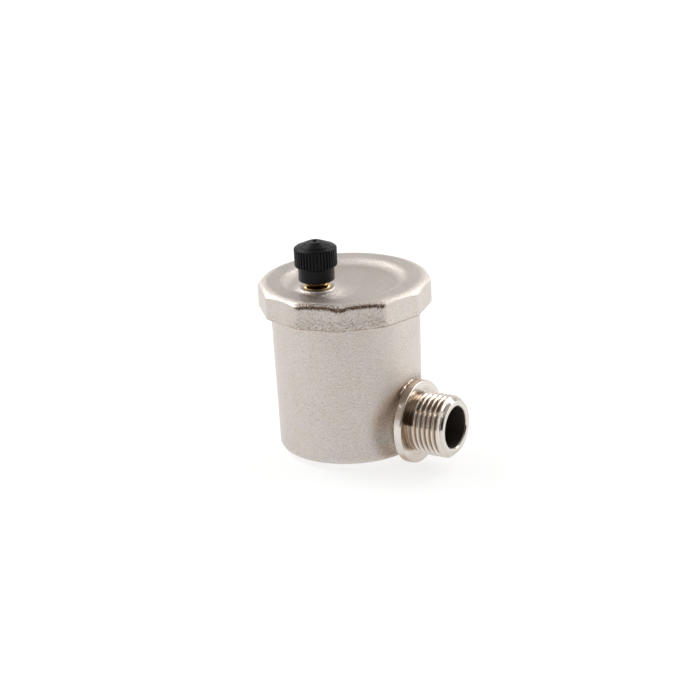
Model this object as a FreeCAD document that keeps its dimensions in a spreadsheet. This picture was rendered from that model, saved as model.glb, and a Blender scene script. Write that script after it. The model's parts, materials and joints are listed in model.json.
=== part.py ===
import FreeCAD, Part
import math
import os
import Sketcher

# Automatic air vent: a cast cup with a side inlet, a twelve-sided screwed cover, a vent nozzle with a
# knurled cap, and a float hung from a lever that shuts the nozzle as water rises.
# Millimetres.  The origin is the centre of the cup's base, +Z goes up the cup and +X along the inlet.

doc = FreeCAD.newDocument("air_vent")

DRIVING_SIZES = {
    # Cup
    "base_radius": 23.9,
    "rim_radius": 24.87,
    "cup_height": 48.4,
    "base_round": 2.2,
    "base_wall": 3.0,
    "floor_thickness": 3.0,
    "chamber_corner": 2.0,
    "cover_thread_radius": 24.0,
    "cover_thread_length": 4.4,
    "cover_thread_wall": 2.6,
    "edge_chamfer": 0.5,
    # Inlet: the cup's flared neck, and a turned G 1/2 spigot with its flange brazed to it
    "inlet_height": 10.9,
    "inlet_passage_radius": 6.5,
    "flange_radius": 13.9,
    "flange_gap": 0.4,
    "flange_thickness": 2.75,
    "neck_radius": 11.6,
    "neck_flare": 9.0,
    "neck_reach": 5.5,
    "neck_lift": 0.4,
    "relief_radius": 9.3,
    "relief_length": 2.0,
    "inlet_thread_radius": 10.4775,
    "inlet_length": 13.15,
    "inlet_chamfer": 1.5,
    "inlet_bore_radius": 7.0,
    "bore_chamfer": 0.5,
    # Cover
    "cover_flat_count": 12,
    "cover_across_flats": 56.0,
    "cover_bearing": 12.8,
    "cover_height": 9.0,
    "skirt_gap": 0.3,
    "dome_round": 4.8,
    "dome_width": 3.7,
    "dish_radius": 21.0,
    "dish_slope": 3.0,
    "dish_depth": 1.6,
    "roof_thickness": 3.0,
    "gasket_thickness": 1.5,
    "gasket_width": 2.4,
    "boss_radius": 5.75,
    "boss_foot_radius": 9.6,
    "boss_flare": 4.6,
    "boss_rise": 0.65,
    # Vent nozzle
    "nozzle_bearing": -102.9,
    "collar_radius": 4.65,
    "collar_height": 1.4,
    "nozzle_thread_radius": 3.98,
    "shank_radius": 3.5,
    "shank_end": 0.4,
    "outlet_radius": 1.5,
    "orifice_radius": 0.6,
    "orifice_length": 1.4,
    "seat_radius": 1.9,
    "seat_height": 0.6,
    "ring_section": 1.0,
    # Lever bracket and what holds it
    "bracket_sheet": 0.8,
    "bracket_width": 12.0,
    "bracket_tail": 5.2,
    "ear_round": 2.4,
    "ear_clearance": 0.65,
    "washer_radius": 5.1,
    "washer_thickness": 0.6,
    "nut_across_flats": 10.0,
    "nut_height": 2.2,
    "pivot_reach": 4.5,
    "pivot_radius": 0.75,
    "pin_head_radius": 1.4,
    "pin_head_height": 0.6,
    "clip_radius": 1.9,
    "clip_thickness": 0.5,
    "clip_overhang": 0.4,
    # Closing spring
    "wire_radius": 0.2,
    "spring_play": 0.25,
    "spring_turns": 3,
    "spring_pitch": 0.55,
    "spring_leg": 5.6,
    # Lever and shutter
    "lever_swing": 16.0,
    "lever_thickness": 1.5,
    "lever_top": 0.6,
    "lever_width": 5.0,
    "knuckle_radius": 1.7,
    "knuckle_width": 6.0,
    "eye_radius": 1.5,
    "platform_width": 9.6,
    "platform_length": 5.4,
    "platform_corner": 1.0,
    "fork_depth": 3.6,
    "holder_radius": 2.3,
    "holder_height": 0.9,
    "holder_stem_radius": 1.25,
    "rivet_radius": 1.75,
    "rivet_height": 0.4,
    "pad_radius": 1.8,
    "pad_thickness": 0.8,
    "pad_proud": 0.2,
    "link_pin_radius": 0.6,
    "link_head_radius": 1.1,
    "link_head_height": 0.4,
    # Float
    "float_radius": 16.5,
    "float_height": 24.0,
    "float_wall": 1.0,
    "float_corner": 2.0,
    "lid_thickness": 1.2,
    "lid_spigot_depth": 1.5,
    "lid_boss_radius": 3.6,
    "lid_boss_height": 1.2,
    "hanger_drop": 4.2,
    "hanger_thickness": 1.5,
    "hanger_width": 4.0,
    "hanger_depth": 1.6,
    # Cap
    "cap_gap": 2.45,
    "cap_skirt_radius": 6.0,
    "cap_skirt_length": 5.1,
    "cap_step": 0.6,
    "knurl_radius": 7.1,
    "knurl_length": 6.15,
    "knurl_count": 40,
    "knurl_depth": 0.32,
    "knurl_width": 0.62,
    "shoulder_inset": 0.55,
    "shoulder_height": 0.6,
    "crown_radius": 2.35,
    "crown_height": 1.9,
    "dimple_radius": 1.3,
    "dimple_depth": 0.45,
    "cap_mouth_radius": 4.9,
    "cap_mouth_depth": 1.0,
    "seal_height": 9.8,
    "seal_thickness": 1.2,
    # Named clearances
    "screw_clearance": 0.05,
    "running_clearance": 0.08,
    "pin_clearance": 0.03,
    "press_clearance": 0.02,
    "seating_gap": 0.05,
    "lip_clearance": 0.25,
    "side_clearance": 0.25,
}

WORKED_OUT = {
    # Cup
    "rim_top": "=sizes.cup_height + sizes.cover_thread_length",
    "mouth_radius": "=sizes.cover_thread_radius - sizes.cover_thread_wall",
    "chamber_base_radius": "=sizes.base_radius - sizes.base_wall",
    "above_rim": "=rim_top + 1",
    "base_flat_radius": "=sizes.base_radius - sizes.base_round",
    # Inlet: the flange's back clears the leaning wall of the cup at the flange's highest point
    "wall_lean": "=(sizes.rim_radius - sizes.base_radius) / (sizes.cup_height - sizes.base_round)",
    "flange_top": "=sizes.inlet_height + sizes.flange_radius",
    "flange_back": "=sizes.base_radius + wall_lean * (flange_top - sizes.base_round)"
                   " + sizes.flange_gap",
    "flange_front": "=flange_back + sizes.flange_thickness",
    "minus_flange_radius": "=0 - sizes.flange_radius",
    "relief_end": "=flange_front + sizes.relief_length",
    "thread_start": "=relief_end + sizes.inlet_thread_radius - sizes.relief_radius",
    "inlet_end": "=flange_front + sizes.inlet_length",
    "chamfer_start": "=inlet_end - sizes.inlet_chamfer",
    "inlet_face_radius": "=sizes.inlet_thread_radius - sizes.inlet_chamfer",
    "flare_start": "=flange_back - sizes.neck_reach",
    "flare_radius": "=sizes.neck_radius + sizes.neck_flare"
                    " - sqrt(sizes.neck_flare ^ 2 - sizes.neck_reach ^ 2)",
    "inlet_root": "=flare_start - sizes.base_wall",
    "bore_chamfer_start": "=inlet_end - sizes.bore_chamfer",
    "bore_mouth_radius": "=sizes.inlet_bore_radius + sizes.bore_chamfer",
    "beyond_neck": "=flange_back + 1",
    # Cover
    "flat_radius": "=sizes.cover_across_flats / 2",
    "corner_radius": "=flat_radius / cos(180 deg / sizes.cover_flat_count)",
    "beyond_corner": "=corner_radius + 1",
    "flat_half_width": "=corner_radius / 2",
    "minus_flat_half_width": "=0 - flat_half_width",
    "cover_bottom": "=sizes.cup_height + sizes.skirt_gap",
    "cover_top": "=cover_bottom + sizes.cover_height",
    "dish_floor": "=cover_top - sizes.dish_depth",
    "roof_under": "=dish_floor - sizes.roof_thickness",
    "ledge": "=rim_top + sizes.gasket_thickness",
    "lip_radius": "=mouth_radius - sizes.lip_clearance",
    "cover_bore_radius": "=sizes.cover_thread_radius + sizes.screw_clearance",
    "dome_start": "=corner_radius - sizes.dome_width",
    "dome_edge": "=cover_top - sizes.dome_round"
                 " + sqrt(sizes.dome_round ^ 2 - sizes.dome_width ^ 2)",
    "dish_floor_radius": "=sizes.dish_radius - sizes.dish_slope",
    "gasket_outer_radius": "=mouth_radius + sizes.gasket_width",
    "boss_root": "=dish_floor - sizes.roof_thickness / 2",
    "boss_top": "=cover_top + sizes.boss_rise",
    # Places of the pivot and the nozzle: the bracket's ears just clear the chamber's mouth
    "bracket_half_width": "=sizes.bracket_width / 2",
    "bracket_outer_half": "=bracket_half_width + sizes.bracket_sheet",
    "ear_outer": "=sqrt((mouth_radius - sizes.ear_clearance) ^ 2 - bracket_outer_half ^ 2)",
    "pivot_offset": "=ear_outer - sizes.ear_round",
    "nozzle_offset": "=pivot_offset - sizes.pivot_reach",
    # Nozzle
    "nozzle_x": "=nozzle_offset * cos(sizes.nozzle_bearing * 1 deg)",
    "nozzle_y": "=nozzle_offset * sin(sizes.nozzle_bearing * 1 deg)",
    "nozzle_hole_radius": "=sizes.shank_radius + sizes.screw_clearance",
    "ring_radius": "=sizes.shank_radius + sizes.press_clearance + sizes.ring_section / 2",
    "ring_height": "=boss_top - sizes.ring_section / 2 - sizes.press_clearance",
    "ring_seat_radius": "=ring_radius + sizes.ring_section / 2 + sizes.press_clearance",
    "ring_seat": "=ring_height - sizes.ring_section / 2 - sizes.press_clearance",
    "collar_top": "=boss_top + sizes.collar_height",
    "collar_edge": "=collar_top - sizes.edge_chamfer",
    "collar_edge_radius": "=sizes.collar_radius - sizes.edge_chamfer",
    "cap_bottom": "=boss_top + sizes.cap_gap",
    "seal_bottom": "=cap_bottom + sizes.seal_height - sizes.seal_thickness",
    "seal_top": "=cap_bottom + sizes.seal_height",
    "nozzle_tip": "=seal_bottom - sizes.seating_gap",
    "tip_edge": "=nozzle_tip - sizes.edge_chamfer",
    "tip_radius": "=sizes.nozzle_thread_radius - sizes.edge_chamfer",
    "bracket_under": "=roof_under - sizes.bracket_sheet",
    "washer_under": "=bracket_under - sizes.washer_thickness",
    "nut_under": "=washer_under - sizes.nut_height",
    "shank_bottom": "=nut_under - sizes.shank_end",
    "seat": "=shank_bottom - sizes.seat_height",
    "orifice_end": "=seat + sizes.orifice_length",
    "outlet_start": "=orifice_end + sizes.outlet_radius - sizes.orifice_radius",
    # Bracket, in a frame turned to the nozzle's bearing with its origin on the chamber's axis
    "pivot_x": "=pivot_offset * cos(sizes.nozzle_bearing * 1 deg)",
    "pivot_y": "=pivot_offset * sin(sizes.nozzle_bearing * 1 deg)",
    "pad_top": "=sizes.lever_top + sizes.holder_height + sizes.pad_proud",
    "pivot_height": "=seat - pad_top - sizes.seating_gap",
    "minus_bracket_half_width": "=0 - bracket_half_width",
    "minus_bracket_outer_half": "=0 - bracket_outer_half",
    "ear_bottom": "=pivot_height - sizes.ear_round",
    "ear_corner": "=sizes.ear_round - sizes.press_clearance",
    "ear_inner": "=pivot_offset - sizes.ear_round",
    "bracket_inner": "=nozzle_offset - sizes.bracket_tail",
    "bracket_length": "=ear_outer - bracket_inner",
    "below_ears": "=ear_bottom - 1",
    "before_bracket": "=bracket_inner - 1",
    "pivot_hole_radius": "=sizes.pivot_radius + sizes.press_clearance",
    "shank_clear_radius": "=sizes.shank_radius + sizes.screw_clearance",
    # Pins, each about its own axis
    "minus_pin_head": "=0 - bracket_outer_half - sizes.pin_head_height - sizes.press_clearance",
    "pin_shoulder": "=0 - bracket_outer_half - sizes.press_clearance",
    "clip_start": "=bracket_outer_half + sizes.press_clearance",
    "clip_end": "=clip_start + sizes.clip_thickness",
    "pin_end": "=clip_end + sizes.clip_overhang",
    "clip_bore_radius": "=sizes.pivot_radius + sizes.press_clearance",
    # Lever, in a frame at the pivot with the arm along -X, level when the shutter is closed
    "lever_bottom": "=sizes.lever_top - sizes.lever_thickness",
    "eye_x": "=0 - pivot_offset",
    "shutter_x": "=0 - sizes.pivot_reach",
    "platform_start": "=shutter_x - sizes.platform_length / 2",
    "platform_end": "=shutter_x + sizes.platform_length / 2",
    "platform_half_width": "=sizes.platform_width / 2",
    "minus_platform_half_width": "=0 - platform_half_width",
    "fork_start": "=eye_x - sizes.eye_radius - 1",
    "fork_end": "=eye_x + sizes.fork_depth",
    "fork_half_width": "=sizes.hanger_thickness / 2 + sizes.side_clearance",
    "minus_fork_half_width": "=0 - fork_half_width",
    "pivot_bore_radius": "=sizes.pivot_radius + sizes.pin_clearance",
    "link_hole_radius": "=sizes.link_pin_radius + sizes.press_clearance",
    "link_bore_radius": "=sizes.link_pin_radius + sizes.pin_clearance",
    "stem_hole_radius": "=sizes.holder_stem_radius + sizes.press_clearance",
    "holder_top": "=sizes.lever_top + sizes.holder_height",
    "pad_bottom": "=pad_top - sizes.pad_thickness",
    "pad_recess_radius": "=sizes.pad_radius + sizes.press_clearance",
    "rivet_top": "=lever_bottom - sizes.press_clearance",
    "rivet_bottom": "=rivet_top - sizes.rivet_height",
    "link_half_width": "=sizes.lever_width / 2",
    "link_shoulder": "=0 - link_half_width - sizes.press_clearance",
    "minus_link_head": "=link_shoulder - sizes.link_head_height",
    "link_clip_start": "=link_half_width + sizes.press_clearance",
    "link_clip_end": "=link_clip_start + sizes.link_head_height",
    "link_pin_end": "=link_clip_end + sizes.press_clearance",
    # Spring, about the pivot
    "coil_radius": "=sizes.pivot_radius + sizes.spring_play + sizes.wire_radius",
    "spring_start": "=sizes.knuckle_width / 2 + sizes.wire_radius + sizes.seating_gap",
    "spring_stand": "=bracket_under - pivot_height - sizes.wire_radius - sizes.seating_gap",
    # Float, in a frame at the link pin, hanging plumb
    "rest_eye": "=pivot_offset - pivot_offset * cos(sizes.lever_swing * 1 deg)",
    "float_x": "=rest_eye * cos(sizes.nozzle_bearing * 1 deg)",
    "float_y": "=rest_eye * sin(sizes.nozzle_bearing * 1 deg)",
    "float_eye_height": "=pivot_height - pivot_offset * sin(sizes.lever_swing * 1 deg)",
    "lid_top": "=0 - sizes.hanger_drop",
    "lid_bottom": "=lid_top - sizes.lid_thickness",
    "lid_boss_top": "=lid_top + sizes.lid_boss_height",
    "hanger_bottom": "=lid_boss_top - sizes.hanger_depth",
    "hanger_slot_bottom": "=hanger_bottom - sizes.press_clearance",
    "hanger_half_width": "=sizes.hanger_width / 2",
    "minus_hanger_half_width": "=0 - hanger_half_width",
    "hanger_slot_half": "=hanger_half_width + sizes.press_clearance",
    "minus_hanger_slot_half": "=0 - hanger_slot_half",
    "hanger_slot_width": "=sizes.hanger_thickness + 2 * sizes.press_clearance",
    "above_lid_boss": "=lid_boss_top + 1",
    "shell_inner_radius": "=sizes.float_radius - sizes.float_wall",
    "spigot_outer_radius": "=shell_inner_radius - sizes.press_clearance",
    "spigot_inner_radius": "=spigot_outer_radius - sizes.float_wall",
    "lid_spigot_bottom": "=lid_bottom - sizes.lid_spigot_depth",
    "float_bottom": "=lid_top - sizes.float_height",
    "float_floor": "=float_bottom + sizes.float_wall",
    # Cap, about the nozzle's axis
    "cap_bore_radius": "=sizes.nozzle_thread_radius + sizes.running_clearance",
    "cap_mouth_top": "=cap_bottom + sizes.cap_mouth_depth",
    "knurl_bottom": "=cap_bottom + sizes.cap_skirt_length",
    "step_bottom": "=knurl_bottom - sizes.cap_step",
    "knurl_top": "=knurl_bottom + sizes.knurl_length",
    "shoulder_top": "=knurl_top + sizes.shoulder_height",
    "shoulder_radius": "=sizes.knurl_radius - sizes.shoulder_inset",
    "crown_top": "=knurl_top + sizes.crown_height",
    "dimple_bottom": "=crown_top - sizes.dimple_depth",
    "seal_radius": "=cap_bore_radius - sizes.press_clearance",
    "knurl_root_radius": "=sizes.knurl_radius - sizes.knurl_depth",
    "knurl_open_radius": "=sizes.knurl_radius + sizes.knurl_depth",
    "knurl_half_opening": "=sizes.knurl_width",
    "minus_knurl_half_opening": "=0 - knurl_half_opening",
}


def fill_sheet(name, cells):
    """A sheet with one alias in each row: its text in column A holds the value or the formula."""
    sheet = doc.addObject("Spreadsheet::Sheet", name)
    for row, (alias, content) in enumerate(cells.items(), start=1):
        sheet.set(f"A{row}", str(content))
        sheet.setAlias(f"A{row}", alias)
    doc.recompute()
    return sheet


sizes = fill_sheet("sizes", DRIVING_SIZES)
places = fill_sheet("places", WORKED_OUT)


def cell(alias):
    """The expression that reads one cell."""
    return f"sizes.{alias}" if alias in DRIVING_SIZES else f"places.{alias}"


def number(alias):
    """The cell's present value."""
    sheet = sizes if alias in DRIVING_SIZES else places
    return float(sheet.get(alias))


AT_INLET = "placement(vector(0; sizes.inlet_height; 0); rotation(0; 0; 0))"
NOZZLE_FRAME = "placement(vector(0; 0; 0); rotation(sizes.nozzle_bearing; 0; 0))"
NOZZLE_AXIS_FRAME = "placement(vector(places.nozzle_x; places.nozzle_y; 0); rotation(0; 0; 0))"
PIVOT_FRAME = ("placement(vector(places.pivot_x; places.pivot_y; places.pivot_height);"
               " rotation(sizes.nozzle_bearing; 0; 0))")
LEVER_FRAME = ("placement(vector(places.pivot_x; places.pivot_y; places.pivot_height);"
               " rotation(sizes.nozzle_bearing; 0 - sizes.lever_swing; 0))")
FLOAT_FRAME = ("placement(vector(places.float_x; places.float_y; places.float_eye_height);"
               " rotation(sizes.nozzle_bearing; 0; 0))")


def new_body(label, frame=None):
    body = doc.addObject("PartDesign::Body", label)
    body.Label = label
    if frame:
        body.setExpression("Placement", frame)
    return body


def new_sketch(body, name, plane, offset=None):
    """A sketch on one of the body's own origin planes, moved within it by an expression."""
    sketch = body.newObject("Sketcher::SketchObject", f"{body.Label}_{name}")
    origin_plane = next(f for f in body.Origin.OriginFeatures if f.Role == f"{plane}_Plane")
    sketch.AttachmentSupport = [(origin_plane, "")]
    sketch.MapMode = "FlatFace"
    if offset:
        sketch.setExpression("AttachmentOffset", offset)
    doc.recompute()
    return sketch


def hold_point(sketch, shape, end, across, up):
    """Ties one point to the sketch's origin by the two cells that place it; None means on the axis."""
    for kind, alias, axis in (("DistanceX", across, -2), ("DistanceY", up, -1)):
        if alias is None:
            sketch.addConstraint(Sketcher.Constraint("PointOnObject", shape, end, axis))
        else:
            index = sketch.addConstraint(
                Sketcher.Constraint(kind, -1, 1, shape, end, number(alias)))
            sketch.setExpression(f"Constraints[{index}]", cell(alias))


def outline(sketch, points, arcs=None):
    """A closed outline through points given as pairs of cell names, None standing for zero.
    arcs maps a span's number to its radius cell and the side of its centre, 1 being left."""
    arcs = arcs or {}
    where = [FreeCAD.Vector(number(a) if a else 0, number(u) if u else 0, 0) for a, u in points]
    starts, ends = [], []
    for i, start in enumerate(where):
        end = where[(i + 1) % len(where)]
        if i not in arcs:
            shape = sketch.addGeometry(Part.LineSegment(start, end), False)
            starts.append((shape, 1))
            ends.append((shape, 2))
            continue
        radius_cell, side = arcs[i]
        radius = number(radius_cell)
        chord = end - start
        left = FreeCAD.Vector(-chord.y, chord.x, 0).normalize()
        rise = math.sqrt(radius ** 2 - (chord.Length / 2) ** 2)
        centre = (start + end) * 0.5 + left * (side * rise)
        first, last = (start, end) if side > 0 else (end, start)
        angles = [math.atan2(p.y - centre.y, p.x - centre.x) for p in (first, last)]
        circle = Part.Circle(centre, FreeCAD.Vector(0, 0, 1), radius)
        shape = sketch.addGeometry(Part.ArcOfCircle(circle, angles[0], angles[1]), False)
        starts.append((shape, 1 if side > 0 else 2))
        ends.append((shape, 2 if side > 0 else 1))
    for i in range(len(where)):
        joined = starts[(i + 1) % len(where)]
        sketch.addConstraint(Sketcher.Constraint("Coincident", *ends[i], *joined))
        hold_point(sketch, *starts[i], *points[i])
    for i, (radius_cell, _side) in arcs.items():
        index = sketch.addConstraint(
            Sketcher.Constraint("Radius", starts[i][0], number(radius_cell)))
        sketch.setExpression(f"Constraints[{index}]", cell(radius_cell))


def circle_in(sketch, radius_cell, across=None, up=None):
    centre = FreeCAD.Vector(number(across) if across else 0, number(up) if up else 0, 0)
    circle = Part.Circle(centre, FreeCAD.Vector(0, 0, 1), number(radius_cell))
    shape = sketch.addGeometry(circle, False)
    index = sketch.addConstraint(Sketcher.Constraint("Radius", shape, number(radius_cell)))
    sketch.setExpression(f"Constraints[{index}]", cell(radius_cell))
    if across is None and up is None:
        sketch.addConstraint(Sketcher.Constraint("Coincident", shape, 3, -1, 1))
    else:
        hold_point(sketch, shape, 3, across, up)


def box_outline(sketch, left, bottom, right, top):
    outline(sketch, [(left, bottom), (right, bottom), (right, top), (left, top)])


def turned(body, sketch, axis="V_Axis", cut=False):
    """The sketch turned once about one of its own axes, added or cut away."""
    kind = "PartDesign::Groove" if cut else "PartDesign::Revolution"
    feature = body.newObject(kind, f"{sketch.Name}_{'groove' if cut else 'turned'}")
    feature.Profile = sketch
    feature.ReferenceAxis = (sketch, [axis])
    feature.Angle = 360
    doc.recompute()
    return feature


def padded(body, sketch, length, midplane=False):
    pad = body.newObject("PartDesign::Pad", f"{sketch.Name}_pad")
    pad.Profile = sketch
    pad.Midplane = midplane
    pad.setExpression("Length", length)
    doc.recompute()
    return pad


def pocketed(body, sketch, length=None, midplane=False, reverse=False):
    """Cuts the sketch through everything, or to a length given as an expression."""
    before = body.Shape.Volume
    pocket = body.newObject("PartDesign::Pocket", f"{sketch.Name}_pocket")
    pocket.Profile = sketch
    pocket.Midplane = midplane
    pocket.Reversed = reverse
    if length:
        pocket.setExpression("Length", length)
    else:
        pocket.Type = "ThroughAll"
    doc.recompute()
    if not body.Shape.Volume < before:
        raise RuntimeError(f"{pocket.Name} cuts nothing")
    return pocket


def patterned(body, feature, count_cell):
    """Repeats a cut evenly about the body's Z axis."""
    pattern = body.newObject("PartDesign::PolarPattern", f"{feature.Name}_pattern")
    pattern.Originals = [feature]
    z_axis = next(f for f in body.Origin.OriginFeatures if f.Role == "Z_Axis")
    pattern.Axis = (z_axis, [""])
    pattern.Angle = 360
    pattern.setExpression("Occurrences", cell(count_cell))
    body.Tip = pattern
    doc.recompute()
    return pattern


def edges_where(feature, test):
    return [f"Edge{i}" for i, edge in enumerate(feature.Shape.Edges, start=1) if test(edge)]


def dressed(body, base, kind, size_cell, test):
    """A Fillet or a Chamfer on the edges that the test picks."""
    names = edges_where(base, test)
    if not names:
        raise RuntimeError(f"no edge of {base.Name} to dress")
    feature = body.newObject(f"PartDesign::{kind}", f"{base.Name}_{kind.lower()}")
    feature.Base = (base, names)
    feature.setExpression("Radius" if kind == "Fillet" else "Size", cell(size_cell))
    doc.recompute()
    return feature


def is_ring(edge, height, radius):
    """True for a circle about the Z axis at this height and radius."""
    if not isinstance(edge.Curve, Part.Circle):
        return False
    centre = edge.Curve.Center
    return (abs(centre.z - height) < 1e-4 and math.hypot(centre.x, centre.y) < 1e-4
            and abs(edge.Curve.Radius - radius) < 1e-4)


def at_nozzle():
    """Moves an upright sketch of a body in the main frame to the nozzle's axis and bearing."""
    return ("placement(vector(places.nozzle_x; 0; 0 - places.nozzle_y);"
            " rotation(vector(0; 1; 0); sizes.nozzle_bearing))")


def vent_body():
    body = new_body("vent_body")
    # The neck flares into the cup, so its arc is hollow.
    neck = new_sketch(body, "neck", "XZ", AT_INLET)
    outline(neck, [("inlet_root", None), ("flange_back", None), ("flange_back", "neck_radius"),
                   ("flare_start", "flare_radius"), ("inlet_root", "flare_radius")],
            arcs={2: ("neck_flare", -1)})
    turned(body, neck, "H_Axis")

    # Near the base the neck is flat underneath.
    trim = new_sketch(body, "neck_underside", "XY",
                      "placement(vector(0; 0; sizes.neck_lift); rotation(0; 0; 0))")
    box_outline(trim, None, "minus_flange_radius", "beyond_neck", "flange_radius")
    pocketed(body, trim)

    cup = new_sketch(body, "cup", "XZ")
    outline(cup, [(None, None), ("base_flat_radius", None), ("base_radius", "base_round"),
                  ("rim_radius", "cup_height"), ("cover_thread_radius", "cup_height"),
                  ("cover_thread_radius", "rim_top"), (None, "rim_top")],
            arcs={1: ("base_round", 1)})
    solid = turned(body, cup)
    dressed(body, solid, "Chamfer", "edge_chamfer",
            lambda e: is_ring(e, number("rim_top"), number("cover_thread_radius")))

    chamber = new_sketch(body, "chamber", "XZ")
    outline(chamber, [(None, "floor_thickness"), ("chamber_base_radius", "floor_thickness"),
                      ("mouth_radius", "rim_top"), ("mouth_radius", "above_rim"), (None, "above_rim")])
    hollow = turned(body, chamber, cut=True)
    dressed(body, hollow, "Fillet", "chamber_corner",
            lambda e: is_ring(e, number("floor_thickness"), number("chamber_base_radius")))

    passage = new_sketch(body, "passage", "XZ", AT_INLET)
    outline(passage, [(None, None), ("beyond_neck", None), ("beyond_neck", "inlet_passage_radius"),
                      (None, "inlet_passage_radius")])
    turned(body, passage, "H_Axis", cut=True)
    return body


def inlet_spigot():
    body = new_body("inlet_spigot")
    # Turned in one piece: the flange, an undercut behind the thread, the thread at its full diameter and
    # a chamfered end.  Its back is brazed flat to the neck.
    section = new_sketch(body, "section", "XZ", AT_INLET)
    outline(section, [("flange_back", "inlet_bore_radius"), ("flange_back", "flange_radius"),
                      ("flange_front", "flange_radius"), ("flange_front", "relief_radius"),
                      ("relief_end", "relief_radius"), ("thread_start", "inlet_thread_radius"),
                      ("chamfer_start", "inlet_thread_radius"), ("inlet_end", "inlet_face_radius"),
                      ("inlet_end", "bore_mouth_radius"), ("bore_chamfer_start", "inlet_bore_radius")])
    turned(body, section, "H_Axis")
    return body


def cover():
    body = new_body("cover")
    section = new_sketch(body, "section", "XZ")
    outline(section, [(None, "roof_under"), ("lip_radius", "roof_under"), ("lip_radius", "ledge"),
                      ("cover_bore_radius", "ledge"), ("cover_bore_radius", "cover_bottom"),
                      ("corner_radius", "cover_bottom"), ("corner_radius", "dome_edge"),
                      ("dome_start", "cover_top"), ("dish_radius", "cover_top"),
                      ("dish_floor_radius", "dish_floor"), (None, "dish_floor")],
            arcs={6: ("dome_round", 1)})
    turned(body, section)

    boss = new_sketch(body, "boss", "XZ", at_nozzle())
    outline(boss, [(None, "boss_root"), ("boss_foot_radius", "boss_root"),
                   ("boss_foot_radius", "dish_floor"), ("boss_radius", "boss_top"), (None, "boss_top")],
            arcs={2: ("boss_flare", -1)})
    turned(body, boss)

    hole = new_sketch(body, "nozzle_hole", "XZ", at_nozzle())
    outline(hole, [(None, "nut_under"), ("nozzle_hole_radius", "nut_under"),
                   ("nozzle_hole_radius", "ring_seat"), ("ring_seat_radius", "ring_seat"),
                   ("ring_seat_radius", "collar_top"), (None, "collar_top")])
    turned(body, hole, cut=True)

    flat = new_sketch(body, "flat", "XY", "placement(vector(0; 0; 0); rotation(sizes.cover_bearing; 0; 0))")
    box_outline(flat, "flat_radius", "minus_flat_half_width", "beyond_corner", "flat_half_width")
    patterned(body, pocketed(body, flat, reverse=True), "cover_flat_count")
    return body


def ring_body(label, inner, outer, bottom, top, frame=None):
    """A flat ring about the Z axis of its frame."""
    body = new_body(label, frame)
    section = new_sketch(body, "section", "XZ")
    box_outline(section, inner, bottom, outer, top)
    turned(body, section)
    return body


def nozzle():
    body = new_body("nozzle", NOZZLE_AXIS_FRAME)
    section = new_sketch(body, "section", "XZ")
    outline(section, [("orifice_radius", "seat"), ("seat_radius", "seat"), ("seat_radius", "shank_bottom"),
                      ("shank_radius", "shank_bottom"), ("shank_radius", "boss_top"),
                      ("collar_radius", "boss_top"), ("collar_radius", "collar_edge"),
                      ("collar_edge_radius", "collar_top"), ("nozzle_thread_radius", "collar_top"),
                      ("nozzle_thread_radius", "tip_edge"), ("tip_radius", "nozzle_tip"),
                      ("outlet_radius", "nozzle_tip"), ("outlet_radius", "outlet_start"),
                      ("orifice_radius", "orifice_end")])
    turned(body, section)
    return body


def nozzle_ring():
    ring = doc.addObject("Part::Torus", "nozzle_ring")
    ring.setExpression("Radius1", cell("ring_radius"))
    ring.setExpression("Radius2", "sizes.ring_section / 2")
    ring.setExpression("Placement", "placement(vector(places.nozzle_x; places.nozzle_y;"
                                    " places.ring_height); rotation(0; 0; 0))")
    doc.recompute()
    return ring


def lever_bracket():
    """A channel of folded sheet: its web lies under the roof, its ears carry the pivot."""
    body = new_body("lever_bracket", NOZZLE_FRAME)
    channel = new_sketch(body, "channel", "YZ",
                         "placement(vector(0; 0; places.bracket_inner); rotation(0; 0; 0))")
    outline(channel, [("minus_bracket_outer_half", "roof_under"), ("minus_bracket_outer_half", "ear_bottom"),
                      ("minus_bracket_half_width", "ear_bottom"),
                      ("minus_bracket_half_width", "bracket_under"),
                      ("bracket_half_width", "bracket_under"), ("bracket_half_width", "ear_bottom"),
                      ("bracket_outer_half", "ear_bottom"), ("bracket_outer_half", "roof_under")])
    padded(body, channel, cell("bracket_length"))
    side = new_sketch(body, "ear_side", "XZ")
    box_outline(side, "before_bracket", "below_ears", "ear_inner", "bracket_under")
    trimmed = pocketed(body, side, midplane=True)
    ear_ends = (number("ear_inner"), number("ear_outer"))

    def is_ear_corner(edge):
        centre = edge.CenterOfMass
        return (abs(centre.z - number("ear_bottom")) < 1e-4
                and abs(edge.Length - number("bracket_sheet")) < 1e-4
                and min(abs(centre.x - end) for end in ear_ends) < 1e-4)

    dressed(body, trimmed, "Fillet", "ear_corner", is_ear_corner)
    shank = new_sketch(body, "shank_hole", "XY")
    circle_in(shank, "shank_clear_radius", "nozzle_offset")
    pocketed(body, shank, reverse=True)
    pivot = new_sketch(body, "pivot_hole", "XZ")
    circle_in(pivot, "pivot_hole_radius", "pivot_offset", "pivot_height")
    pocketed(body, pivot, midplane=True)
    return body


def bracket_nut():
    prism = doc.addObject("Part::Prism", "bracket_nut_hexagon")
    prism.Polygon = 6
    prism.setExpression("Circumradius", "sizes.nut_across_flats / 2 / cos(30 deg)")
    prism.setExpression("Height", cell("nut_height"))
    hole = doc.addObject("Part::Cylinder", "bracket_nut_hole")
    hole.setExpression("Radius", cell("shank_clear_radius"))
    hole.setExpression("Height", cell("nut_height"))
    nut = doc.addObject("Part::Cut", "bracket_nut")
    nut.Base = prism
    nut.Tool = hole
    nut.setExpression("Placement", "placement(vector(places.nozzle_x; places.nozzle_y; places.nut_under);"
                                   " rotation(sizes.nozzle_bearing; 0; 0))")
    doc.recompute()
    return nut


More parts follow.
